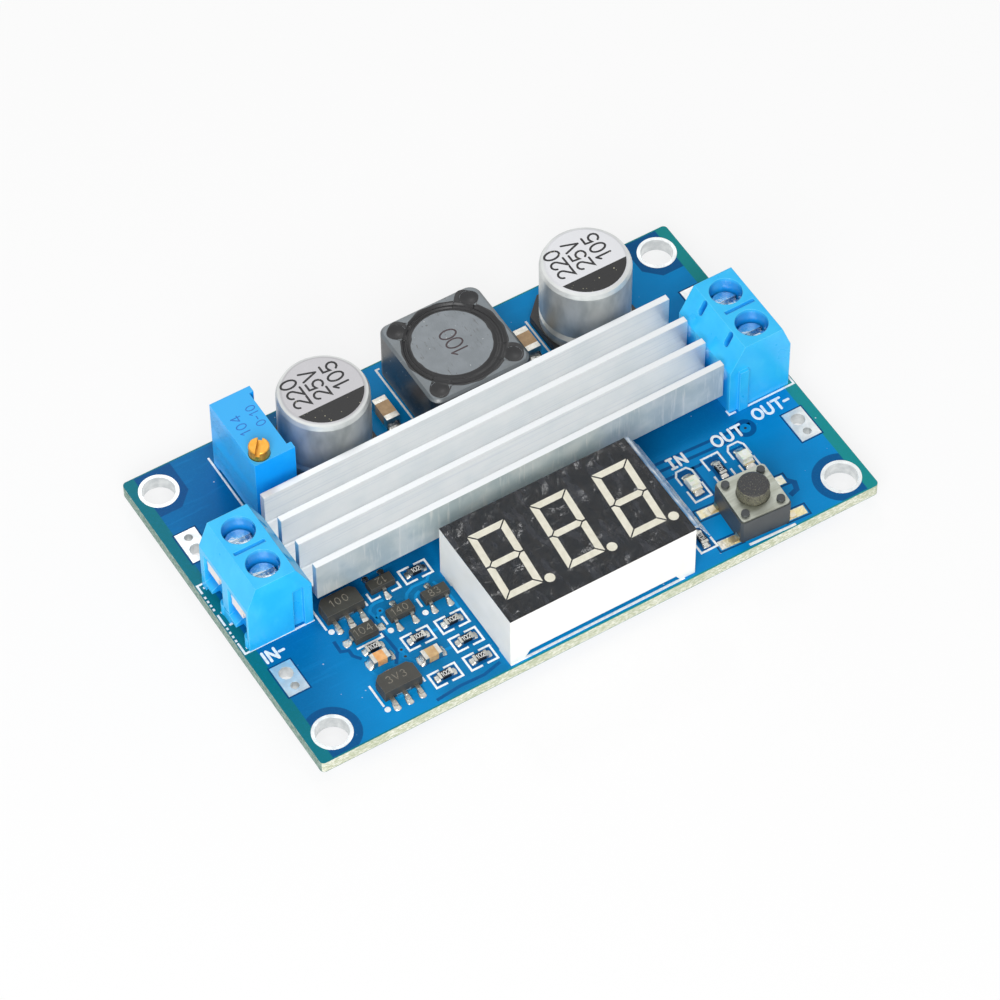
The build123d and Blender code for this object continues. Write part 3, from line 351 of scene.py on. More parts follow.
letters = {
    "I": (0.5, [[(0.25, 0), (0.25, 1)]]),
    "i": (0.78, [[(0.28, 0), (0.28, 1)], [(0.06, 0), (0.5, 0)], [(0.06, 1), (0.5, 1)]]),
    "N": (0.95, [[(0.1, 0), (0.1, 1)], [(0.1, 1), (0.75, 0)], [(0.75, 0), (0.75, 1)]]),
    "O": (1.0, [arc(0.45, 0.5, 0.38, 0.5, 0, 360, 21)]),
    "U": (0.95, [join([(0.1, 1)], arc(0.42, 0.33, 0.32, 0.33, 180, 360), [(0.74, 1)])]),
    "T": (0.9, [[(0.05, 1), (0.8, 1)], [(0.42, 1), (0.42, 0)]]),
    "V": (0.85, [[(0.05, 1), (0.38, 0)], [(0.38, 0), (0.72, 1)]]),
    "-": (0.6, [[(0.05, 0.5), (0.45, 0.5)]]),
    "0": (0.85, [arc(0.37, 0.5, 0.3, 0.5, 0, 360, 21)]),
    "1": (0.6, [[(0.1, 0.78), (0.33, 1)], [(0.33, 1), (0.33, 0)]]),
    "2": (0.8, [join(arc(0.35, 0.7, 0.28, 0.3, 170, -40), [(0.05, 0), (0.68, 0)])]),
    "3": (0.8, [join(arc(0.33, 0.75, 0.25, 0.25, 150, -90, 8),
                     arc(0.33, 0.26, 0.3, 0.26, 90, -150))]),
    "4": (0.85, [[(0.55, 0), (0.55, 1)], [(0.55, 1), (0.03, 0.3)], [(0.03, 0.3), (0.72, 0.3)]]),
    "5": (0.8, [join([(0.62, 1), (0.14, 1), (0.09, 0.55)], arc(0.33, 0.32, 0.3, 0.32, 120, -150))]),
    "8": (0.8, [arc(0.35, 0.75, 0.24, 0.25, 0, 360, 15), arc(0.35, 0.26, 0.3, 0.26, 0, 360, 15)]),
}


def lettered(text, x, y, degrees, height, width, low, high, spacing=1.0):
    # strokes of a line of text, centred on x and y and turned; a letter's strokes have tops a
    # step apart, so that none share a face
    step = 0.003
    total = sum(letters[c][0] for c in text) * height * spacing
    pen = -total / 2
    shapes = []
    for character in text:
        advance, strokes = letters[character]
        for order, line in enumerate(strokes):
            line = np.asarray(line, float) * height + (pen, -height / 2)
            line = turnedAbout(line, x, y, degrees)
            ring = np.allclose(line[0], line[-1])
            top = high + step * order
            shapes.append(stroke(line[:-1] if ring else line, width, low, top, ring))
            if not ring:
                ends = (line[0], line[-1])
                shapes += [disc(*end, width / 2, low, top - step / 2, 10) for end in ends]
        pen += advance * height * spacing
    return shapes


# Finishes

def metalFinish(name, code, tint, rough, grain, depth, edge=0.03, stretch=(1, 1, 1)):
    # bare metal: uneven shine from grain, and a fine relief
    mat = Finish(name, {"Metallic": 1.0})
    cloud = mat.noise(grain * 6, stretch, 3)
    fine = mat.noise(grain, stretch, 2)
    colour = mat.tones(cloud, code, tint)
    normal = mat.bump(fine, depth, edge)
    return mat.use(colour=colour, rough=cloud.spread(rough * 0.7, rough * 1.4), normal=normal)


def plasticFinish(name, code, tint, rough, grain=0.12, depth=0.004, edge=0.06, edgeHighlight=None):
    # moulded plastic: colour drift, a fine mould texture, and a highlight painted on the edges
    mat = Finish(name)
    drift = mat.noise(2.5, detail=3)
    fine = mat.noise(grain, detail=3)
    colour = mat.tones(drift, code, tint, 0.25, 0.75)
    # edges painted in the given paler tone as a highlight
    if edgeHighlight:
        colour = mat.mix(mat.edges(edge * 1.5) * 0.5, colour, edgeHighlight)
    normal = mat.bump(fine, depth, edge)
    return mat.use(colour=colour, rough=drift.spread(rough * 0.8, rough * 1.25), normal=normal)


def boardFinish():
    # blue mask over the copper pour, darker where it is bare; the cut edge shows the laminate
    board = {
        "pour": "058cd0", "pourDark": "0780c0", "shaded": "02639c", "clearance": "054a82",
        "border": "1a8b8c", "borderLeft": "0d7380", "pourX": 32.6, "pourY": 20.85,
        "holeX": 31.1, "holeY": 18.1, "ringRadius": 3.15, "cornerX": 28.3, "cornerY": 15.0,
        "cornerCut": 1.7, "skin": 0.06,
    }
    mat = Finish("boardMask", {"Specular IOR Level": 0.1})
    x, y, z = mat.axes()
    side = abs(x)
    outside = (side - board["pourX"]).most(abs(y) - board["pourY"])
    border = outside.rise(-0.06, 0.06)
    holeX = side - board["holeX"]
    holeY = y + board["holeY"]
    ring = (board["ringRadius"] - (holeX * holeX + holeY * holeY) ** 0.5).rise(-0.05, 0.05)
    cornerX = side - board["cornerX"]
    cornerY = y - board["cornerY"]
    corner = cornerX.least(cornerY).least((cornerX + cornerY - board["cornerCut"]) * 0.7)
    bare = ring.most(corner.rise(-0.05, 0.05))
    weave = mat.noise(0.42, (1, 0.25, 1)).most(mat.noise(0.42, (0.25, 1, 1)))
    drift = mat.noise(9.0, detail=3)
    streak = mat.noise(1.1, (5, 0.5, 1), 3)
    colour = mat.tones(drift, board["pour"], board["pourDark"])
    # painted shade in broad patches, each a product of steps along x and y
    colour = mat.mix((-18.0 - x + 0.3 * y).rise(0, 10) * 0.8, colour, board["shaded"])
    # painted shade among the small parts on the left
    amongPartsShade = (x + 26.5).rise(0, 4) * (-10.5 - x).rise(0, 1.5)
    colour = mat.mix(amongPartsShade * (y + 21).rise(0, 14) * 0.5, colour, "025a90")
    colour = mat.mix(amongPartsShade * (x + 20.5).rise(0, 3) * 0.6, colour, "0c6796")
    # a band of painted shadow along the front of the heatsink
    besideSinkShade = (1 - (abs(y + 3.4) - 1.5).rise(0, 2.2)) * (27 - side).rise(0, 2)
    colour = mat.mix(besideSinkShade * 0.5, colour, "02508a")
    colour = mat.mix(streak.rise(0.55, 0.75) * 0.25, colour, "1590d2")
    colour = mat.mix(bare * 0.85, colour, board["clearance"])
    rim = mat.tones(x, board["borderLeft"], board["border"], -34, -4)
    colour = mat.mix(border, colour, rim)
    colour = mat.mix(weave.rise(0.5, 0.8) * 0.12, colour, "1f9ada")
    dust = (0.07 - mat.cells(1.3)).rise(0, 0.02) * mat.noise(3.0).rise(0.45, 0.6)
    colour = mat.mix(dust * 0.75, colour, "d3e2ea")
    # the cut edge: fibres painted as lit cream on the front and as shaded grey on the other sides
    fibre = mat.noise(0.2, (2.2, 2.2, 0.8), 4, 0.7)
    blotch = mat.noise(1.4, (2, 2, 1), 3)
    front = (-0.5 - mat.facing("Y")).rise(0, 0.1)
    cream = mat.tones(fibre, "b9bfa2", "e9e9dc", 0.4, 0.62)
    cream = mat.mix(blotch.rise(0.45, 0.75) * 0.6, cream, "a9b596")
    grey = mat.tones(fibre, "6f8a80", "a9bbb0", 0.4, 0.62)
    above = (z - (boardTop - board["skin"])).rise(0, 0.03)
    below = (boardUnder + board["skin"] - z).rise(0, 0.03)
    cut = 1 - above.most(below)
    colour = mat.mix(cut, colour, mat.mix(front, grey, cream))
    relief = weave * 0.15 + fibre * cut
    return mat.use(colour=colour, rough=cut.spread(0.26, 0.7), normal=mat.bump(relief, 0.03, 0.04))


def heatsinkFinish():
    # satin extruded metal; the outer face of the front fin is mottled and streaked
    mat = Finish("extrudedAluminium")
    x, y, z = mat.axes()
    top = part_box("heatsink")[1].z / metre
    front = (-2.5 - y).rise(1.2, 1.5) * (-0.5 - mat.facing("Y")).rise(0, 0.1)
    drawn = mat.noise(0.09, (160, 1, 1), 3)
    lines = mat.noise(0.22, (200, 1, 1), 2)
    streak = mat.noise(0.45, (1.2, 1, 12), 3, 0.6)
    fine = mat.noise(0.05, (30, 1, 1), 2)
    patch = mat.noise(3.2, detail=3)
    colour = mat.tones(patch, "f3f6f7", "fbfcfc")
    colour = mat.mix(lines.rise(0.5, 0.7) * 0.4, colour, "dfe4ec")
    # the front face: mottle that is partly painted reflection, with bright streaks painted as
    # glints
    dull = mat.tones(patch, "c2cfd0", "dce3e1", 0.35, 0.65)
    dull = mat.mix(streak.rise(0.52, 0.74) * 0.6, dull, "f7f7f2")
    # the fin tops painted a little darker as shade
    finTopShade = (z - (top - 0.3)).rise(0, 0.2) * mat.facing().rise(0.7, 0.9)
    colour = mat.mix(finTopShade, colour, "dcdfe1")
    colour = mat.mix(front, colour, dull)
    rough = streak.spread(0.25, 0.5) * front + (1 - front) * drawn.spread(0.3, 0.45)
    metal = front.spread(0.72, 0.4)
    normal = mat.bump(drawn * 0.6 + fine * 0.4 + streak * front, 0.008, 0.06)
    return mat.use(colour=colour, rough=rough, metal=metal, normal=normal)


def canFinish():
    # drawn metal, smoky round the sides; the lid is greyer towards -x
    mat = Finish("drawnAluminium")
    x, y, z = mat.axes()
    brushed = mat.noise(0.06, (1, 1, 40), 3)
    smoky = mat.noise(2.4, (1, 1, 2.4), 3)
    top = (z - 13.15).rise(0, 0.12)
    shoulderHighlight = (z - 12.3).rise(0, 0.9)
    side = mat.tones(smoky, "adb3b2", "dfe2e0")
    # a highlight painted on the shoulder
    side = mat.mix(shoulderHighlight * 0.7, side, "dcdedd")
    # the lid painted greyer towards -x as shade
    lid = mat.tones(x, "b9b8bb", "d2d3d6", -6, 6)
    colour = mat.mix(top, side, lid)
    grain = mat.noise(0.07, detail=2)
    speck = mat.noise(0.12, detail=2, roughness=0.8).rise(0.62, 0.7)
    colour = mat.mix(speck * 0.2, colour, "f4f4f4")
    normal = mat.bump(brushed * (1 - top) + grain * top, 0.008)
    rough = top.spread(0.36, 0.46) + 0.06 * smoky
    return mat.use(colour=colour, rough=rough, metal=top.spread(0.65, 0.7), normal=normal)


def ferriteFinish(name, code, tint, edge=0.05, scratch=0.0):
    # dark grey body of high index, its upward faces painted paler than its sides as reflection
    mat = Finish(name, {"IOR": 2.0})
    cloud = mat.noise(1.8, detail=4)
    grain = mat.noise(0.12, detail=3)
    pit = (0.16 - mat.cells(0.9)).rise(0, 0.05) * mat.noise(1.5).rise(0.5, 0.62)
    rub = mat.noise(0.45, (0.5, 3.0, 1), 4, 0.7).rise(0.56, 0.64) * mat.noise(2.4).rise(0.47, 0.6)
    chip = (0.12 - mat.cells(0.7)).rise(0, 0.02) * mat.noise(1.1).rise(0.5, 0.6)
    colour = mat.tones(cloud, code, tint, 0.35, 0.68)
    # painted reflection: the sides dark, the upward faces paler
    colour = mat.mix(mat.facing().rise(0.3, 0.9), "161b20", colour)
    # a highlight painted along the edges
    colour = mat.mix(mat.edges(edge) * 0.45, colour, "a4abae")
    colour = mat.mix(pit.most(rub * scratch) * 0.75, colour, "1b1c1e")
    colour = mat.mix(chip * 0.6, colour, "d3d6d6")
    normal = mat.bump(grain - pit, 0.012, edge)
    return mat.use(colour=colour, rough=cloud.spread(0.3, 0.44), normal=normal)


def faceFinish():
    # printed black face under its film: shiny, rippled, with grey smudges partly painted reflection
    mat = Finish("blackFace", {"Specular IOR Level": 0.35})
    ripple = mat.noise(1.5, (1, 1.5, 1), 3)
    wave = mat.noise(3.5, detail=2)
    smudgeAndSheen = mat.noise(1.3, (1, 3, 1), 4)
    fine = mat.noise(0.35, detail=2)
    # grey patches: smudges, partly painted reflection
    colour = mat.tones(smudgeAndSheen, "08080a", "232429", 0.5, 0.62)
    normal = mat.bump(ripple * 0.6 + wave + fine * 0.04, 0.4)
    return mat.use(colour=colour, rough=smudgeAndSheen.spread(0.1, 0.24), normal=normal)


def segmentFinish():
    # cream diffusers, unlit
    mat = Finish("diffuser")
    drift = mat.noise(0.8, detail=3)
    grain = mat.noise(0.1, detail=2)
    colour = mat.tones(drift, "e0dcc9", "ebe7d6")
    return mat.use(colour=colour, rough=drift.spread(0.3, 0.5), normal=mat.bump(grain, 0.006))


def filmFinish():
    # clear film: faint over the face, and milky with bluish creases on the flap
    mat = Finish("clearFilm", {"IOR": 1.45, "Roughness": 0.08})
    flap = mat.axes()[0].rise(11.15, 11.5)
    crease = mat.noise(0.7, (0.6, 2.2, 0.8), 3).rise(0.38, 0.72)
    colour = mat.mix(crease, "c2dbf2", "fafcfe")
    alpha = 0.02 + flap * (0.36 + 0.42 * crease)
    wave = mat.noise(1.0, (1, 2.5, 1), 2)
    return mat.use(colour=colour, alpha=alpha, normal=mat.bump(wave, 0.05))


def lensFinish():
    # clear resin, milky, with a hint of green
    mat = Finish("lampLens", {"Roughness": 0.2})
    cloud = mat.noise(0.5, detail=3)
    spot = mat.noise(0.28, detail=1).rise(0.6, 0.7)
    colour = mat.tones(cloud, "fafae2", "fffffa", 0.35, 0.65)
    colour = mat.mix(spot * 0.35, colour, "8fe6c0")
    return mat.use(colour=colour, normal=mat.bump(cloud, 0.03))


def ceramicFinish():
    # multilayer capacitors: one of the small ones is brighter than the rest
    mat = Finish("capacitorCeramic", {"Roughness": 0.38})
    x, y, z = mat.axes()
    bright = (-20.0 - x).rise(0, 0.5)
    large = y.rise(0, 1)
    cloud = mat.noise(0.5, detail=3)
    tan = mat.tones(cloud, "b9956c", "c8a57a")
    warm = mat.tones(cloud, "c09a6a", "d0b07e")
    orange = mat.tones(cloud, "e6a05c", "f2b878")
    colour = mat.mix(bright, mat.mix(large, warm, tan), orange)
    return mat.use(colour=colour, normal=mat.bump(cloud, 0.01, 0.05))


def trimmerFinish():
    # azure case: light painted per face, paler on top, and raised print of no meaning on the long
    # side
    mat = Finish("trimmerCase", {"Specular IOR Level": 0.3})
    x, y, z = mat.axes()
    top = mat.facing().rise(0.5, 0.9)
    left = (-24.28 - x).rise(0, 0.01)
    drift = mat.noise(2.5, detail=3)
    marks = mat.noise(0.42, (1, 0.8, 0.5), 3, 0.75).rise(0.5, 0.6)
    rows = (mat.noise(0.9, (1, 30, 1), 1) - 0.42).rise(0, 0.1)
    band = (z - 4.0).rise(0, 0.4) * (12.4 - z).rise(0, 0.4) * left * rows
    # painted light and shade: a tone for the sides, a paler left face and a paler top
    side = mat.tones(drift, "0ca4fe", "16aeff")
    side = mat.mix(left * 0.7, side, "36b8ff")
    colour = mat.mix(top, side, "34b2f8")
    colour = mat.mix(marks * band * 0.3, colour, "6cc2fc")
    # a highlight painted along the edges
    colour = mat.mix(mat.edges(0.1) * 0.5, colour, "7ccdff")
    normal = mat.bump(marks * band + mat.noise(0.1) * 0.05, 0.06, 0.06)
    return mat.use(colour=colour, rough=drift.spread(0.28, 0.4), normal=normal)


def terminalFinish():
    # azure mouldings, with shade painted darker in the wells, the wire entries and the lower parts
    case = {"middleX": 29.8, "middleY": 0.15, "top": 13.0, "halfLength": 3.42, "halfWidth": 4.85,
            "outerSlope": 2.3, "innerSlope": 2.4}
    mat = Finish("terminalPlastic", {"Specular IOR Level": 0.35})
    x, y, z = mat.axes()
    drift = mat.noise(3.0, detail=3)
    flow = mat.noise(0.9, (1, 1, 3), 3)
    fine = mat.noise(0.1, detail=2)
    # depth under the block's outer shape: the least distance to its flat sides and its slopes,
    # each the sum of two distances by the cosines of the slope
    along = abs(x) - case["middleX"]
    under = case["top"] - z
    depth = (case["halfLength"] - along).least(under)
    depth = depth.least(case["halfWidth"] - abs(y - case["middleY"]))
    depth = depth.least(0.34 * under + 0.94 * (case["outerSlope"] - along))
    depth = depth.least(0.45 * under + 0.89 * (along + case["innerSlope"]))
    # painted shade, darker towards the bottom
    low = (8.0 - z).rise(0, 5.0)
    colour = mat.tones(drift, "2bbcfa", "36c4fb")
    colour = mat.mix(flow.rise(0.55, 0.75) * 0.25, colour, "50d0fc")
    colour = mat.mix(low * 0.4, colour, "20b0f8")
    # painted shade in the recesses
    deep = depth.rise(0.12, 0.7)
    colour = mat.mix(deep * 0.8, colour, "1092e2")
    # a highlight painted along the edges outside the recesses
    colour = mat.mix(mat.edges(0.12) * (1 - deep) * 0.6, colour, "84e2ff")
    normal = mat.bump(flow * 0.5 + fine * 0.3, 0.012, 0.12)
    return mat.use(colour=colour, rough=drift.spread(0.24, 0.34), normal=normal)


def plungerFinish():
    # speckled black plastic, paler down its side
    mat = Finish("plungerPlastic")
    speck = mat.noise(0.1, detail=3, roughness=0.8)
    cloud = mat.noise(0.7, detail=3)
    pit = mat.noise(0.16, detail=2).rise(0.6, 0.68)
    colour = mat.tones(speck, "26262a", "3b3a38", 0.4, 0.65)
    side = 1 - mat.facing().rise(0.5, 0.9)
    colour = mat.mix(side * speck.rise(0.4, 0.6) * 0.8, colour, "8a886f")
    colour = mat.mix(pit * 0.6, colour, "7d7a68")
    return mat.use(colour=colour, rough=cloud.spread(0.28, 0.42), normal=mat.bump(speck, 0.05, 0.1))


print("making finishes")
slotFinishes = {
    "solder_mask": boardFinish(),
    "plated_copper": metalFinish("platedCopper", "e9ecec", "d3d7d8", 0.38, 0.16, 0.014),
    "solder": metalFinish("brightSolder", "dcdbd6", "bdbab2", 0.26, 0.12, 0.03, 0.04),
    "heatsink_aluminium": heatsinkFinish(),
    "thermal_adhesive": plasticFinish("thermalAdhesive", "dcdcd4", "cfcfc6", 0.6),
    # the black mould's paler edge tone is a painted highlight
    "black_mould": plasticFinish("blackMould", "33322e", "403f39", 0.5, 0.09, 0.012, 0.05,
                                 "86827a"),
    "tinned_metal": metalFinish("tinnedMetal", "d4d2cb", "bcb9b0", 0.3, 0.1, 0.008, 0.04),
    "can_aluminium": canFinish(),
    "capacitor_paper": plasticFinish("windingPaper", "b39b72", "a48c63", 0.7),
    "black_rubber": plasticFinish("blackRubber", "191919", "222222", 0.7),
    "black_base": plasticFinish("blackBase", "161617", "1f1f21", 0.45),
    "capacitor_ceramic": ceramicFinish(),
    "ferrite": ferriteFinish("ferriteShield", "4a5459", "58636a", 0.12),
    "copper_wire": metalFinish("copperWire", "c9713d", "c9713d", 0.25, 0.12, 0.02, 0.03,
                               (1, 1, 0.4)),
    "black_glue": plasticFinish("blackGlue", "151517", "1d1e20", 0.4, 0.5, 0.02, 0.02),
    "resistor_ceramic": plasticFinish("resistorGlaze", "121314", "1a1a1c", 0.32, 0.1, 0.004, 0.04),
    "white_plastic": plasticFinish("whitePlastic", "f1f1ec", "f6f6f2", 0.45, 0.15, 0.003, 0.04),
    "lamp_lens": lensFinish(), "black_face": faceFinish(), "segment_diffuser": segmentFinish(),
    "clear_film": filmFinish(),
    "gold_plating": metalFinish("goldPlating", "dcc68e", "dcd5c2", 0.3, 0.1, 0.008),
    "switch_plastic": plasticFinish("switchPlastic", "383b3e", "45494b", 0.42),
    "cover_metal": metalFinish("satinCover", "a2a599", "b7bab0", 0.36, 0.08, 0.006, 0.08,
                               (6, 1, 1)),
    "trimmer_plastic": trimmerFinish(), "terminal_plastic": terminalFinish(),
    "brass": metalFinish("turnedBrass", "d3963c", "e0aa50", 0.4, 0.1, 0.014),
    "screw_metal": metalFinish("screwMetal", "d3dde2", "eef4f7", 0.16, 0.5, 0.05, 0.06),
}
guardFinish = plasticFinish("guardPlate", "eee3df", "f3ece9", 0.35)
nodeFinishes = {name: guardFinish for name in nodes if "wire_guard" in name}
nodeFinishes["inductor_core"] = ferriteFinish("ferriteCore", "59636a", "687178", 0.05, 1.0)
nodeFinishes["switch_plunger"] = plungerFinish()
for part in frame["record"]["subparts"]:
    finish = nodeFinishes.get(part["node"], slotFinishes[part["material_slot"]])
    mesh = nodes[part["node"]].data
    mesh.materials.clear()
    mesh.materials.append(finish.material)


# Places of the small parts, in millimetres about the board's middle

parts = {
    "resistorsAlong": [(-13.5, -5.15), (-13.55, -12.6), (-17.6, -12.6), (-13.5, -15.35),
                       (-13.45, -18.1), (-17.65, -18.1), (-22.25, -11.3)],
    "resistorsAcross": [(20.7, -10.6), (14.1, -17.25)],
    "lamps": [(17.2, -10.8), (23.75, -10.75)],
    "transistors": [(-17.55, -4.85, 180), (-17.6, -9.0, 0), (-13.4, -8.95, 0)],
    "regulators": [(-22.4, -16.55), (-22.55, -5.2)],
    "diode": (-22.2, -9.35),
    "smallCeramics": [(-22.4, -12.95), (-17.65, -15.3)],
    "largeCeramics": [(-5.6, 14.15), (12.1, 14.3)],
    "switch": (20.5, -17.1, -3.5),
}


# White print on the board

def boxedPart(x, y, length, width, gap, degrees=0):
    # two brackets round a small part, with a gap in the middle of each long side
    a, b, g = length / 2, width / 2, gap / 2
    sides = [[(s * g, b), (s * a, b), (s * a, -b), (s * g, -b)] for s in (-1, 1)]
    return [turnedAbout(side, x, y, degrees) for side in sides]


def makePrint():
    ink = {
        "width": 0.24, "boldWidth": 0.31, "low": boardTop + 0.005, "high": boardTop + 0.03,
        "resistorBox": (3.15, 1.85, 0.55),
        "acrossBoxes": [(20.75, -10.6, 4.3, 2.05, 0.9), (14.1, -17.2, 3.2, 1.95, 0.55)],
        # marks about the middle of a part, and the parts that have them
        "marks": [
            ([[(-1.0, 0.5), (-1.0, 1.75), (-0.6, 2.35), (0.6, 2.35), (1.0, 1.75), (1.0, 0.3)],
              [(-1.0, -0.4), (-1.0, -2.1), (1.0, -2.1), (1.0, -0.1)]], parts["lamps"]),
            ([[(-1.75, -0.1), (-1.75, -1.15), (-0.65, -1.15)],
              [(0.65, -1.15), (1.75, -1.15), (1.75, -0.35)]], parts["transistors"][:1]),
            ([[(-1.8, 0.75), (-1.8, -0.45)]], parts["transistors"][1:]),
            ([[(-2.6, 1.4), (-2.6, -1.6)], [(2.6, -0.5), (2.6, -1.1)]], parts["regulators"]),
            ([[(-1.5, -1.15), (1.6, -1.15), (1.6, -0.7)]], [parts["diode"]]),
        ],
        "inputEdge": -33.77, "dashLength": 0.3, "tickStart": -33.35, "tickEnd": -32.95,
        "dashes": (3.55, 2.95, 2.35, 1.75, -1.1, -1.7, -2.3, -2.9),
        "ticks": (4.6, 0.9, -0.9, -4.35),
        # terminal blocks, trimmer, inductor and capacitors
        "outlines": [
            [(-33.77, -3.4), (-33.77, -4.95), (-25.55, -4.95)],
            [(-32.9, 5.15), (-33.77, 5.15), (-33.77, 4.0)], [(-33.77, 0.8), (-33.77, -0.8)],
            [(27.0, -4.92), (33.79, -4.92), (33.79, 5.5)],
            [(25.6, -4.3), (25.6, -4.92), (26.4, -4.92)], [(-24.5, 19.2), (-24.5, 8.2)],
            [(-2.9, 20.1), (-3.35, 20.1), (-3.35, 7.6)], [(9.0, 20.1), (9.35, 20.1), (9.35, 7.6)],
            [(13.85, 17.4), (13.85, 8.2)],
            [(-18.9, 8.5), (-18.9, 15.5), (-15.6, 19.0), (-11.0, 19.0)],
        ],
        "front": [[(-11.3, -20.5), (9.9, -20.5)], [(18.0, -20.5), (23.6, -20.75)]],
        "dots": [(-24.86, -18.65), (-19.52, -10.27), (-24.83, -7.23), (-15.3, -10.2)],
        "dotRadius": 0.34,
        "words": [("iN", 17.55, -7.25, 1.3), ("OUT", 23.9, -7.2, 1.38),
                  ("IN-", -31.3, -6.5, 1.36), ("OUT-", 29.95, -6.4, 1.36)],
    }
    finish = Finish("whiteInk", {"IOR": 1.45})
    wear = finish.noise(0.35, detail=3)
    finish.use(colour=finish.tones(wear, "e4e8ea", "fbfcfc", 0.3, 0.6),
               rough=wear.spread(0.35, 0.55), normal=finish.bump(wear, 0.01))
    low, high, bold = ink["low"], ink["high"], ink["boldWidth"]
    lines = []
    for x, y in parts["resistorsAlong"][:-1]:
        lines += boxedPart(x, y, *ink["resistorBox"])
    for box in ink["acrossBoxes"]:
        lines += boxedPart(*box, 90)
    for marks, places in ink["marks"]:
        for place in places:
            lines += [turnedAbout(line, place[0], place[1], 0) for line in marks]
    edge = ink["inputEdge"]
    lines += [[(edge, start), (edge, start - ink["dashLength"])] for start in ink["dashes"]]
    lines += [[(ink["tickStart"], tick), (ink["tickEnd"], tick)] for tick in ink["ticks"]]
    shapes = [stroke(line, ink["width"], low, high) for line in lines + ink["outlines"]]
    shapes += [stroke(line, bold, low, high) for line in ink["front"]]
    shapes += [disc(x, y, ink["dotRadius"], low, high) for x, y in ink["dots"]]
    for text, x, y, height in ink["words"]:
        shapes += lettered(text, x, y, 0, height, bold, low, high)
    makePiece("board_print", shapes, finish)


makePrint()


# Copper that shows through the mask: dark gaps, bright tracks and small plated holes

def maskFinish(name, code, tint):
    mat = Finish(name, {"Roughness": 0.26, "Specular IOR Level": 0.1})
    drift = mat.noise(1.2, detail=3)
    colour = mat.tones(drift, code, tint)
    return mat.use(colour=colour, normal=mat.bump(drift, 0.01))


def makeCopper():
    copper = {
        "gapLow": boardTop + 0.001, "gapHigh": boardTop + 0.004, "trackHigh": boardTop + 0.02,
        "trackWidth": 0.34, "gapWidth": 0.38, "viaRadius": 0.17, "viaRing": (0.16, 0.38),
        "resistorGapShade": (2.75, 1.45), "acrossGapShade": (1.5, 3.0), "lampGapShade": (1.7, 3.6),
        # in one quarter a pad's middle and size, its line's width, and where the four stand
        "pads": [((4.0, 2.25), (2.85, 1.5), 0.2, parts["switch"]),
                 ((31.43, 10.0), (2.65, 4.3), 0.16, (0, 0, 0))],
        "ringGap": (0.62, 1.2), "ringTrack": (0.3, 0.6), "hookWidth": 0.6,
        "hook": [(25.9, -15.4), (26.5, -16.1), (26.2, -17.0), (25.2, -17.3)],
        "vias": [(-19.2, -7.54), (-19.85, -12.95), (-19.92, -13.9), (26.05, -7.32)],
        "gapPaths": [
            [(-25.25, -8.4), (-25.3, -9.9), (-24.5, -10.2), (-24.5, -11.0), (-23.9, -11.8)],
            [(-20.2, -7.4), (-20.65, -8.6), (-20.35, -11.6), (-20.3, -12.9), (-21.2, -14.2)],
            [(12.8, -6.35), (26.8, -7.0)], [(12.8, -7.35), (24.0, -7.9)],
            [(12.8, -8.6), (19.4, -8.95)],
            [(-12.0, -19.6), (-14.2, -20.1), (-17.0, -20.0), (-20.0, -20.3)],
            [(18.4, -8.7), (18.4, -13.2)], [(19.3, -8.9), (22.0, -8.9)],
        ],
        "tracks": [
            [(-12.5, -6.1), (-13.0, -6.7), (-14.8, -6.65), (-15.7, -7.1), (-16.2, -7.8)],
            [(-14.4, -7.5), (-15.0, -7.75), (-15.5, -8.5)],
            [(-18.2, -6.5), (-19.2, -6.4), (-19.8, -6.6), (-20.2, -7.1), (-20.0, -8.2),
             (-19.9, -10.5)],
            [(-19.2, -7.5), (-20.0, -8.2)],
            [(-19.85, -12.9), (-19.87, -14.0), (-19.2, -15.3)],
            [(-16.0, -12.6), (-15.2, -12.6)], [(-16.1, -15.3), (-15.3, -15.35)],
            [(-12.6, -7.2), (-12.0, -8.9), (-12.0, -11.6)],
            [(-23.6, -12.0), (-23.9, -13.4), (-23.6, -14.6)],
        ],
    }
    dark = maskFinish("maskGap", "07548e", "085a96")
    deep = maskFinish("maskEdge", "0a4676", "0c4c80")
    bright = maskFinish("maskTrack", "0d86c6", "148fce")
    low, high, trackHigh = copper["gapLow"], copper["gapHigh"], copper["trackHigh"]
    x, y = copper["vias"][-1]
    # dark rectangles under the small parts: the mask's clearance, and painted shade round each part
    boxed = [(parts["resistorsAlong"][:-1] + parts["smallCeramics"][1:], copper["resistorGapShade"]),
             (parts["resistorsAcross"], copper["acrossGapShade"]), (parts["lamps"], copper["lampGapShade"])]
    gaps = [outlined(rectangle(*place, *size), low, high) for places, size in boxed
            for place in places]
    gaps += [stroke(path, copper["gapWidth"], low, high) for path in copper["gapPaths"]]
    gaps.append(annulus(x, y, *copper["ringGap"], low, high))
    gaps.append(stroke(copper["hook"], copper["hookWidth"], low, high + 0.001))
    makePiece("mask_gaps", gaps, dark)
    edges = []
    for (padX, padY), size, width, place in copper["pads"]:
        for sx, sy in quarters:
            pad = turnedAbout(rectangle(sx * padX, sy * padY, *size), *place)
            edges.append(stroke(pad, width, low, high, True))
    makePiece("mask_edges", edges, deep)
    shapes = [stroke(path, copper["trackWidth"], high, trackHigh) for path in copper["tracks"]]
    shapes += [annulus(*via, *copper["viaRing"], high, trackHigh + 0.01) for via in copper["vias"]]
    shapes.append(annulus(x, y, *copper["ringTrack"], high, trackHigh))
    makePiece("mask_tracks", shapes, bright)
    holes = [disc(*via, copper["viaRadius"], high, trackHigh + 0.002) for via in copper["vias"]]
    makePiece("via_holes", holes, slotFinishes["black_base"])


makeCopper()


# Solder on the small parts' pads

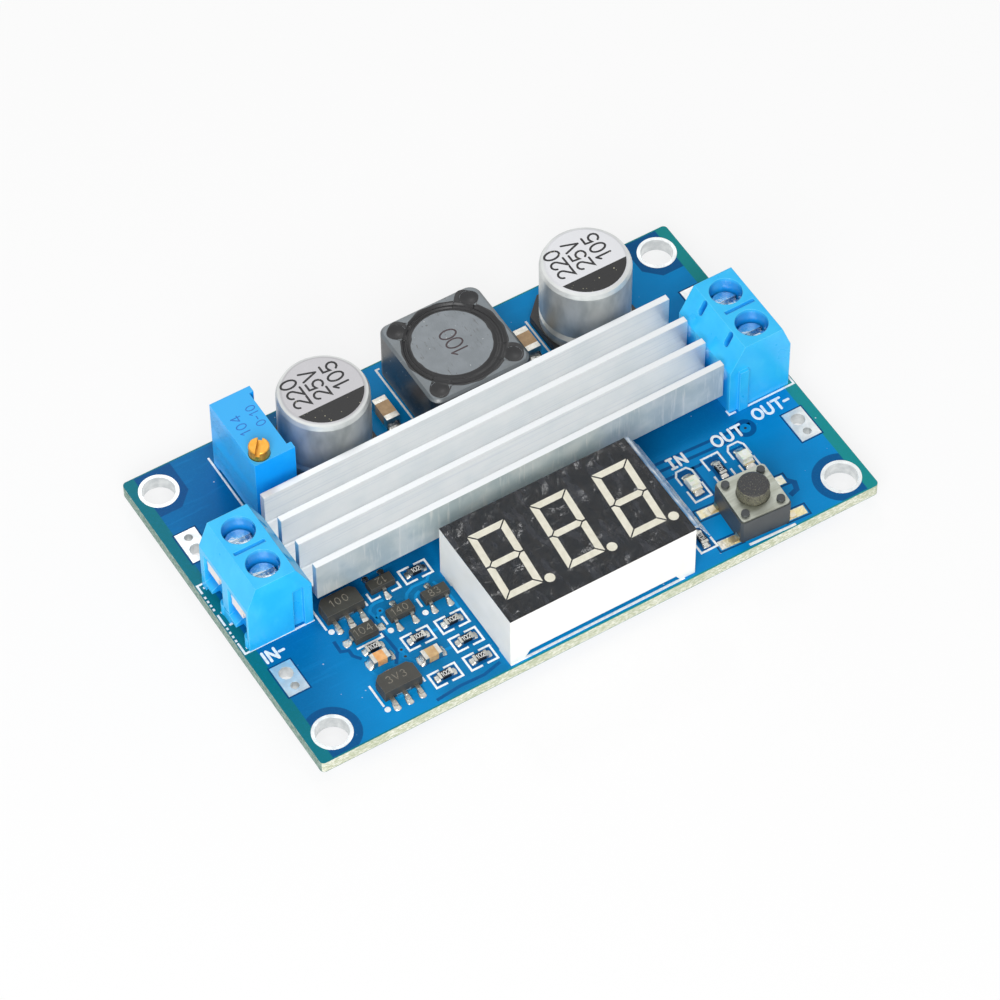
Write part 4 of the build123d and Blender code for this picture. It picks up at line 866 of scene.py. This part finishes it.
def makeSolder():
    # each size is length, width and height at the joint and at the far end
    solder = {
        "resistorEnd": (0.68, 0.85, 0.95, 0.38, 0.12), "lampEnd": (0.6, 1.1, 1.25, 0.3, 0.08),
        "smallCeramicEnd": (0.7, 1.3, 1.4, 0.75, 0.12), "diodeEnd": (0.9, 0.7, 1.1, 0.3, 0.1),
        "largeCeramicEnd": (0.8, 1.7, 1.8, 0.9, 0.12), "tab": (0.8, 1.8, 2.2, 0.4, 0.1),
        "transistorLead": (0.95, 0.45, 0.85, 0.3, 0.08), "tabLead": (1.1, 0.6, 0.85, 0.42, 0.1),
        "transistorFeet": ((-0.95, -1.0, 270), (0.95, -1.0, 270), (0, 1.0, 90)),
        "regulatorFeet": (-1.5, 0, 1.5), "regulatorFront": -1.75, "regulatorBack": 1.35,
        "switchPad": (3.95, 2.25, 2.5, 1.15), "switchPadHeight": 0.08,
    }
    # kind of part, its turn, how far its ends are from its middle, and their size
    ended = [("resistorsAlong", 0, 0.62, "resistorEnd"),
             ("resistorsAcross", 90, 0.62, "resistorEnd"), ("lamps", 90, 0.95, "lampEnd"),
             ("smallCeramics", 0, 0.95, "smallCeramicEnd"),
             ("largeCeramics", 90, 1.55, "largeCeramicEnd")]
    shapes = []

    def atEnds(x, y, degrees, reach, size):
        for turn in (0, 180):
            angle = math.radians(degrees + turn)
            start = (x + reach * math.cos(angle), y + reach * math.sin(angle))
            shapes.append(mound(*start, degrees + turn, size))

    for kind, degrees, reach, size in ended:
        for x, y in parts[kind]:
            atEnds(x, y, degrees, reach, solder[size])
    for x, y, turn in parts["transistors"]:
        flip = -1 if turn else 1
        for dx, dy, away in solder["transistorFeet"]:
            foot = (x + flip * dx, y + flip * dy, away + turn)
            shapes.append(mound(*foot, solder["transistorLead"]))
    for x, y in parts["regulators"]:
        for dx in solder["regulatorFeet"]:
            shapes.append(mound(x + dx, y + solder["regulatorFront"], 270, solder["tabLead"]))
        shapes.append(mound(x, y + solder["regulatorBack"], 90, solder["tab"]))
    atEnds(*parts["diode"], 0, 1.6, solder["diodeEnd"])
    makePiece("pad_solder", shapes, slotFinishes["solder"], smooth=True)
    padX, padY, length, width = solder["switchPad"]
    pads = []
    for sx, sy in quarters:
        pad = turnedAbout(rectangle(sx * padX, sy * padY, length, width), *parts["switch"])
        pads.append(outlined(pad, boardTop + 0.004, boardTop + solder["switchPadHeight"], 0.06))
    dull = metalFinish("dullSolder", "dccf9f", "ecebe6", 0.45, 0.3, 0.08, 0.04)
    makePiece("switch_pads", pads, dull)


makeSolder()


# Black adhesive round the inductor's core, with a lobe towards each corner

def wobble(count, waves):
    # a closed wavering line between about -1 and 1: a sum of sines with drawn phases
    angle = np.arange(count) * 2 * math.pi / count
    phases = draws.uniform(0, 2 * math.pi, len(waves))
    lines = [np.sin(wave * angle + phase) for wave, phase in zip(waves, phases)]
    return np.sum(lines, 0) / len(waves) ** 0.5


def makeGlue():
    glue = {"innerDepth": 0.16, "innerPlace": 0.28, "innerWidth": 0.15, "outerDepth": 0.2,
            "outerPlace": 0.7, "outerWidth": 0.16, "spill": 0.1, "creep": 0.05, "ear": 1.72,
            "dish": 0.24, "pocketPlace": 4.49, "pocketRadius": 1.0, "power": 2.6, "lift": 0.014,
            "skirt": 0.7}
    # each lobe's direction in degrees and its half width
    lobes = np.array([(47.5, 1.32), (132.8, 1.28), (224.8, 1.14), (-42.5, 1.32)]).T
    low, high = (np.array(v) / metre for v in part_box("inductor_glue"))
    coreLow, coreHigh = (np.array(v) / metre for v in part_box("inductor_core"))
    middle, coreMiddle = ((low + high) / 2)[:2], ((coreLow + coreHigh) / 2)[:2]
    bore, core = (high - low)[0] / 2, (coreHigh - coreLow)[0] / 2
    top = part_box("inductor_shield")[1].z / metre
    count = 288
    angle = np.arange(count) * 2 * math.pi / count
    around = np.stack([np.cos(angle), np.sin(angle)], -1)
    # towards each corner the outline goes out by ear * (1 - q ^ p) ^ (1 / p), where q runs
    # from 0 on the lobe's middle line to 1 at its side and p is the power
    turn = angle[:, None] - np.radians(lobes[0])
    q = np.abs(np.sin(turn)) * glue["pocketPlace"] * 2 ** 0.5 / lobes[1]
    lobe = (1 - np.minimum(q, 1) ** glue["power"]) ** (1 / glue["power"])
    lobe = np.where(np.cos(turn) > 0, lobe, 0).max(1)
    reach = bore + glue["spill"] * (1 + 0.8 * wobble(count, (5, 9, 17))) + glue["ear"] * lobe
    inner = core - glue["creep"] * (1 + np.maximum(wobble(count, (2, 7, 15)), 0) ** 2)
    inner = coreMiddle + inner[:, None] * around
    outer = middle + reach[:, None] * around
    t = np.linspace(0, 1, 33)[None, :, None]
    flat = inner[:, None] * (1 - t) + outer[:, None] * t
    # s runs from 0 at the core to 1 at the bore; the height falls below the line between them
    # by two grooves, each depth * exp(-((s - place) / width) ^ 2)
    fromCore = np.linalg.norm(flat - coreMiddle, axis=-1) - core
    toBore = bore - np.linalg.norm(flat - middle, axis=-1)
    s = np.clip(fromCore / np.maximum(fromCore + toBore, 0.01), 0, 1)
    s = np.where(toBore < 0, 1, s)
    lumps = 1 + 0.15 * wobble(count, (3, 5, 8))[:, None]
    innerGroove = np.exp(-((s - glue["innerPlace"]) / glue["innerWidth"]) ** 2)
    outerGroove = np.exp(-((s - glue["outerPlace"]) / glue["outerWidth"]) ** 2)
    depth = glue["innerDepth"] * lumps * innerGroove + glue["outerDepth"] * outerGroove
    # and in each corner's pocket by dish * (1 - (distance / radius) ^ 2)
    for quarter in quarters:
        pocket = middle + np.array(quarter) * glue["pocketPlace"]
        share = np.linalg.norm(flat - pocket, axis=-1) / glue["pocketRadius"]
        depth = depth + glue["dish"] * np.clip(1 - share ** 2, 0, 1)
    height = coreHigh[2] + (top - coreHigh[2]) * s + glue["lift"] - depth
    # its underside is a flat ring, hidden in the bore
    outerEdge = middle + (reach[:, None] - 0.12) * around
    innerEdge = coreMiddle + (core - 0.02) * around
    flat = np.concatenate([flat, np.stack([outerEdge, innerEdge], 1)], 1)
    height = np.concatenate([height, np.full((count, 2), top - glue["skirt"])], 1)
    shapes = [tube(np.concatenate([flat, height[..., None]], -1), closed=True)]
    makePiece("sculpted_glue", shapes, slotFinishes["black_glue"],
              smooth=True, standsFor=("inductor_glue",))


makeGlue()


# Print on the parts

def inkFinish(name, code, tint):
    mat = Finish(name, {"IOR": 1.45})
    wear = mat.noise(0.2, detail=3)
    colour = mat.tones(wear, code, tint, 0.35, 0.7)
    return mat.use(colour=colour, rough=wear.spread(0.4, 0.5), normal=mat.bump(wear, 0.01))


def makeCanPrint():
    can = {"radius": 4.35, "chord": -1.75, "height": 1.75, "width": 0.25, "textY": 1.15,
           "lines": (("220", -2.75), ("25V", -0.35), ("105", 2.05))}
    shapes = []
    for node in ("input_capacitor_can", "output_capacitor_can"):
        low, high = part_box(node)
        x, y = (low.x + high.x) / 2 / metre, (low.y + high.y) / 2 / metre
        top = high.z / metre
        start = math.degrees(math.asin(can["chord"] / can["radius"]))
        moon = arc(x, y, can["radius"], can["radius"], 180 - start, 360 + start, 24)
        shapes.append(outlined(moon, top + 0.001, top + 0.006))
        for line, offset in can["lines"]:
            shapes += lettered(line, x + offset, y + can["textY"], 90, can["height"], can["width"],
                               top + 0.001, top + 0.008)
    finish = inkFinish("blackInk", "1c1c1d", "262627")
    fleck = (0.2 - finish.cells(0.42)).rise(0, 0.06) * finish.noise(1.1).rise(0.5, 0.62)
    finish.use(colour=finish.mix(fleck * 0.8, "1c1c1d", "d8d2b4"))
    makePiece("can_print", shapes, finish)


def makeSmallPrint():
    # each style is height, stroke width, depth, spacing, and the level it stands on
    core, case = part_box("inductor_core"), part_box("trimmer_body")
    styles = {
        "resistor": (0.52, 0.08, 0.006, 0.85, boardTop + 0.45),
        "transistor": (0.8, 0.085, 0.004, 1.15, boardTop + 1.0),
        "diode": (0.9, 0.09, 0.004, 1.1, boardTop + 1.05),
        "regulator": (0.85, 0.09, 0.004, 1.2, boardTop + 1.5),
        "core": (1.9, 0.2, 0.006, 0.85, core[1].z / metre),
        "case": (1.1, 0.13, 0.005, 1.2, case[1].z / metre),
        "caseSmall": (1.0, 0.12, 0.005, 1.1, case[1].z / metre),
    }

    def written(text, x, y, degrees, style):
        height, width, depth, spacing, top = styles[style]
        return lettered(text, x, y, degrees, height, width, top, top + depth, spacing)

    shapes = []
    for kind, degrees in (("resistorsAlong", 0), ("resistorsAcross", 90)):
        for x, y in parts[kind]:
            shapes += written("102", x, y, degrees, "resistor")
    makePiece("chip_numerals", shapes, inkFinish("chipNumerals", "efefed", "c9c9c6"))
    shapes = written("104", *parts["diode"], 0, "diode")
    for place, text in zip(parts["transistors"], ("12", "140", "83")):
        shapes += written(text, *place, "transistor")
    for (x, y), text in zip(parts["regulators"], ("3V3", "100")):
        shapes += written(text, x, y + 0.1, 0, "regulator")
    makePiece("mould_marks", shapes, inkFinish("mouldMarks", "8b8578", "5f5a52"))
    middle = (core[0] + core[1]) / 2 / metre
    shapes = written("100", middle.x + 0.2, middle.y, 90, "core")
    makePiece("core_marks", shapes, inkFinish("coreMarks", "33272c", "4a3d40"))
    shapes = written("104", -22.9, 14.3, 90, "case") + written("0-10", -20.9, 14.6, 90, "caseSmall")
    makePiece("case_marks", shapes, inkFinish("caseMarks", "1767c0", "1f79d2"))


makeCanPrint()
makeSmallPrint()


# Floor, backdrop, lamps and camera

def makeStage():
    # each lamp is its name, place and size in metres, and watts
    stage = {"floorSize": 4.0, "floorGlow": 0.8, "sky": 0.47,
             "lamps": [("key", (-0.25, -0.35, 0.34), 0.35, 2.5),
                       ("glint", (0.12, 0.42, 0.40), 0.10, 0.3)]}
    floorMesh = bpy.data.meshes.new("floor")
    half = stage["floorSize"] / 2
    corners = [(-half, -half, 0), (half, -half, 0), (half, half, 0), (-half, half, 0)]
    floorMesh.from_pydata(corners, [], [(0, 1, 2, 3)])
    floor = bpy.data.objects.new("floor", floorMesh)
    bpy.context.scene.collection.objects.link(floor)
    mat = Finish("paleFloor", {"Base Color": "f4f4f4", "Roughness": 0.9})
    glow = mat.add("Emission", None, {"Color": "ffffff", "Strength": 1.0})
    shares = {0: mat.seen() * stage["floorGlow"], 1: Signal(mat, mat.shader.outputs[0]), 2: glow}
    blend = mat.add("MixShader", None, shares)
    mat.plug(mat.tree.nodes["Material Output"].inputs[0], blend)
    floorMesh.materials.append(mat.material)
    world = bpy.data.worlds.new("studio")
    world.use_nodes = True
    bpy.context.scene.world = world
    studio = Graph(world.node_tree)
    back = studio.tree.nodes["Background"]
    studio.plug(back.inputs["Color"], "ffffff")
    studio.plug(back.inputs["Strength"], studio.seen().spread(stage["sky"], 1.0))
    for name, place, size, watts in stage["lamps"]:
        light = bpy.data.lights.new(name, "AREA")
        light.size = size
        light.energy = watts
        lamp = bpy.data.objects.new(name, light)
        bpy.context.scene.collection.objects.link(lamp)
        lamp.location = place
        lamp.rotation_mode = "QUATERNION"
        lamp.rotation_quaternion = Vector(place).to_track_quat("Z", "Y")
    print("stage with", len(stage["lamps"]), "lamps")


def makeCamera():
    # the photograph's fitted camera: degrees, millimetres, and a focal length in pixels
    camera = {"azimuth": -30.984, "elevation": 52.824, "roll": -0.592, "distance": 538.22,
              "target": (-1.119, -1.786, 3.0), "focal": 5117.55, "frame": 1000, "sensor": 36.0}
    azimuth, elevation, roll = (math.radians(camera[k]) for k in ("azimuth", "elevation", "roll"))
    back = np.array([math.sin(azimuth) * math.cos(elevation),
                     -math.cos(azimuth) * math.cos(elevation), math.sin(elevation)])
    right = np.cross((0, 0, 1), back)
    right /= np.linalg.norm(right)
    up = np.cross(back, right)
    turnedRight = right * math.cos(roll) + up * math.sin(roll)
    turnedUp = up * math.cos(roll) - right * math.sin(roll)
    place = np.array(camera["target"]) + back * camera["distance"]
    data = bpy.data.cameras.new("camera")
    data.sensor_width = camera["sensor"]
    data.lens = camera["focal"] / camera["frame"] * camera["sensor"]
    data.clip_start = 0.01
    data.clip_end = 20.0
    holder = bpy.data.objects.new("camera", data)
    bpy.context.scene.collection.objects.link(holder)
    columns = np.column_stack([turnedRight, turnedUp, back, place * metre])
    holder.matrix_world = Matrix(np.vstack([columns, (0, 0, 0, 1)]).tolist())
    bpy.context.scene.camera = holder
    print("camera placed")


makeStage()
makeCamera()
bpy.context.scene.view_settings.view_transform = "Standard"

print("scene ready")
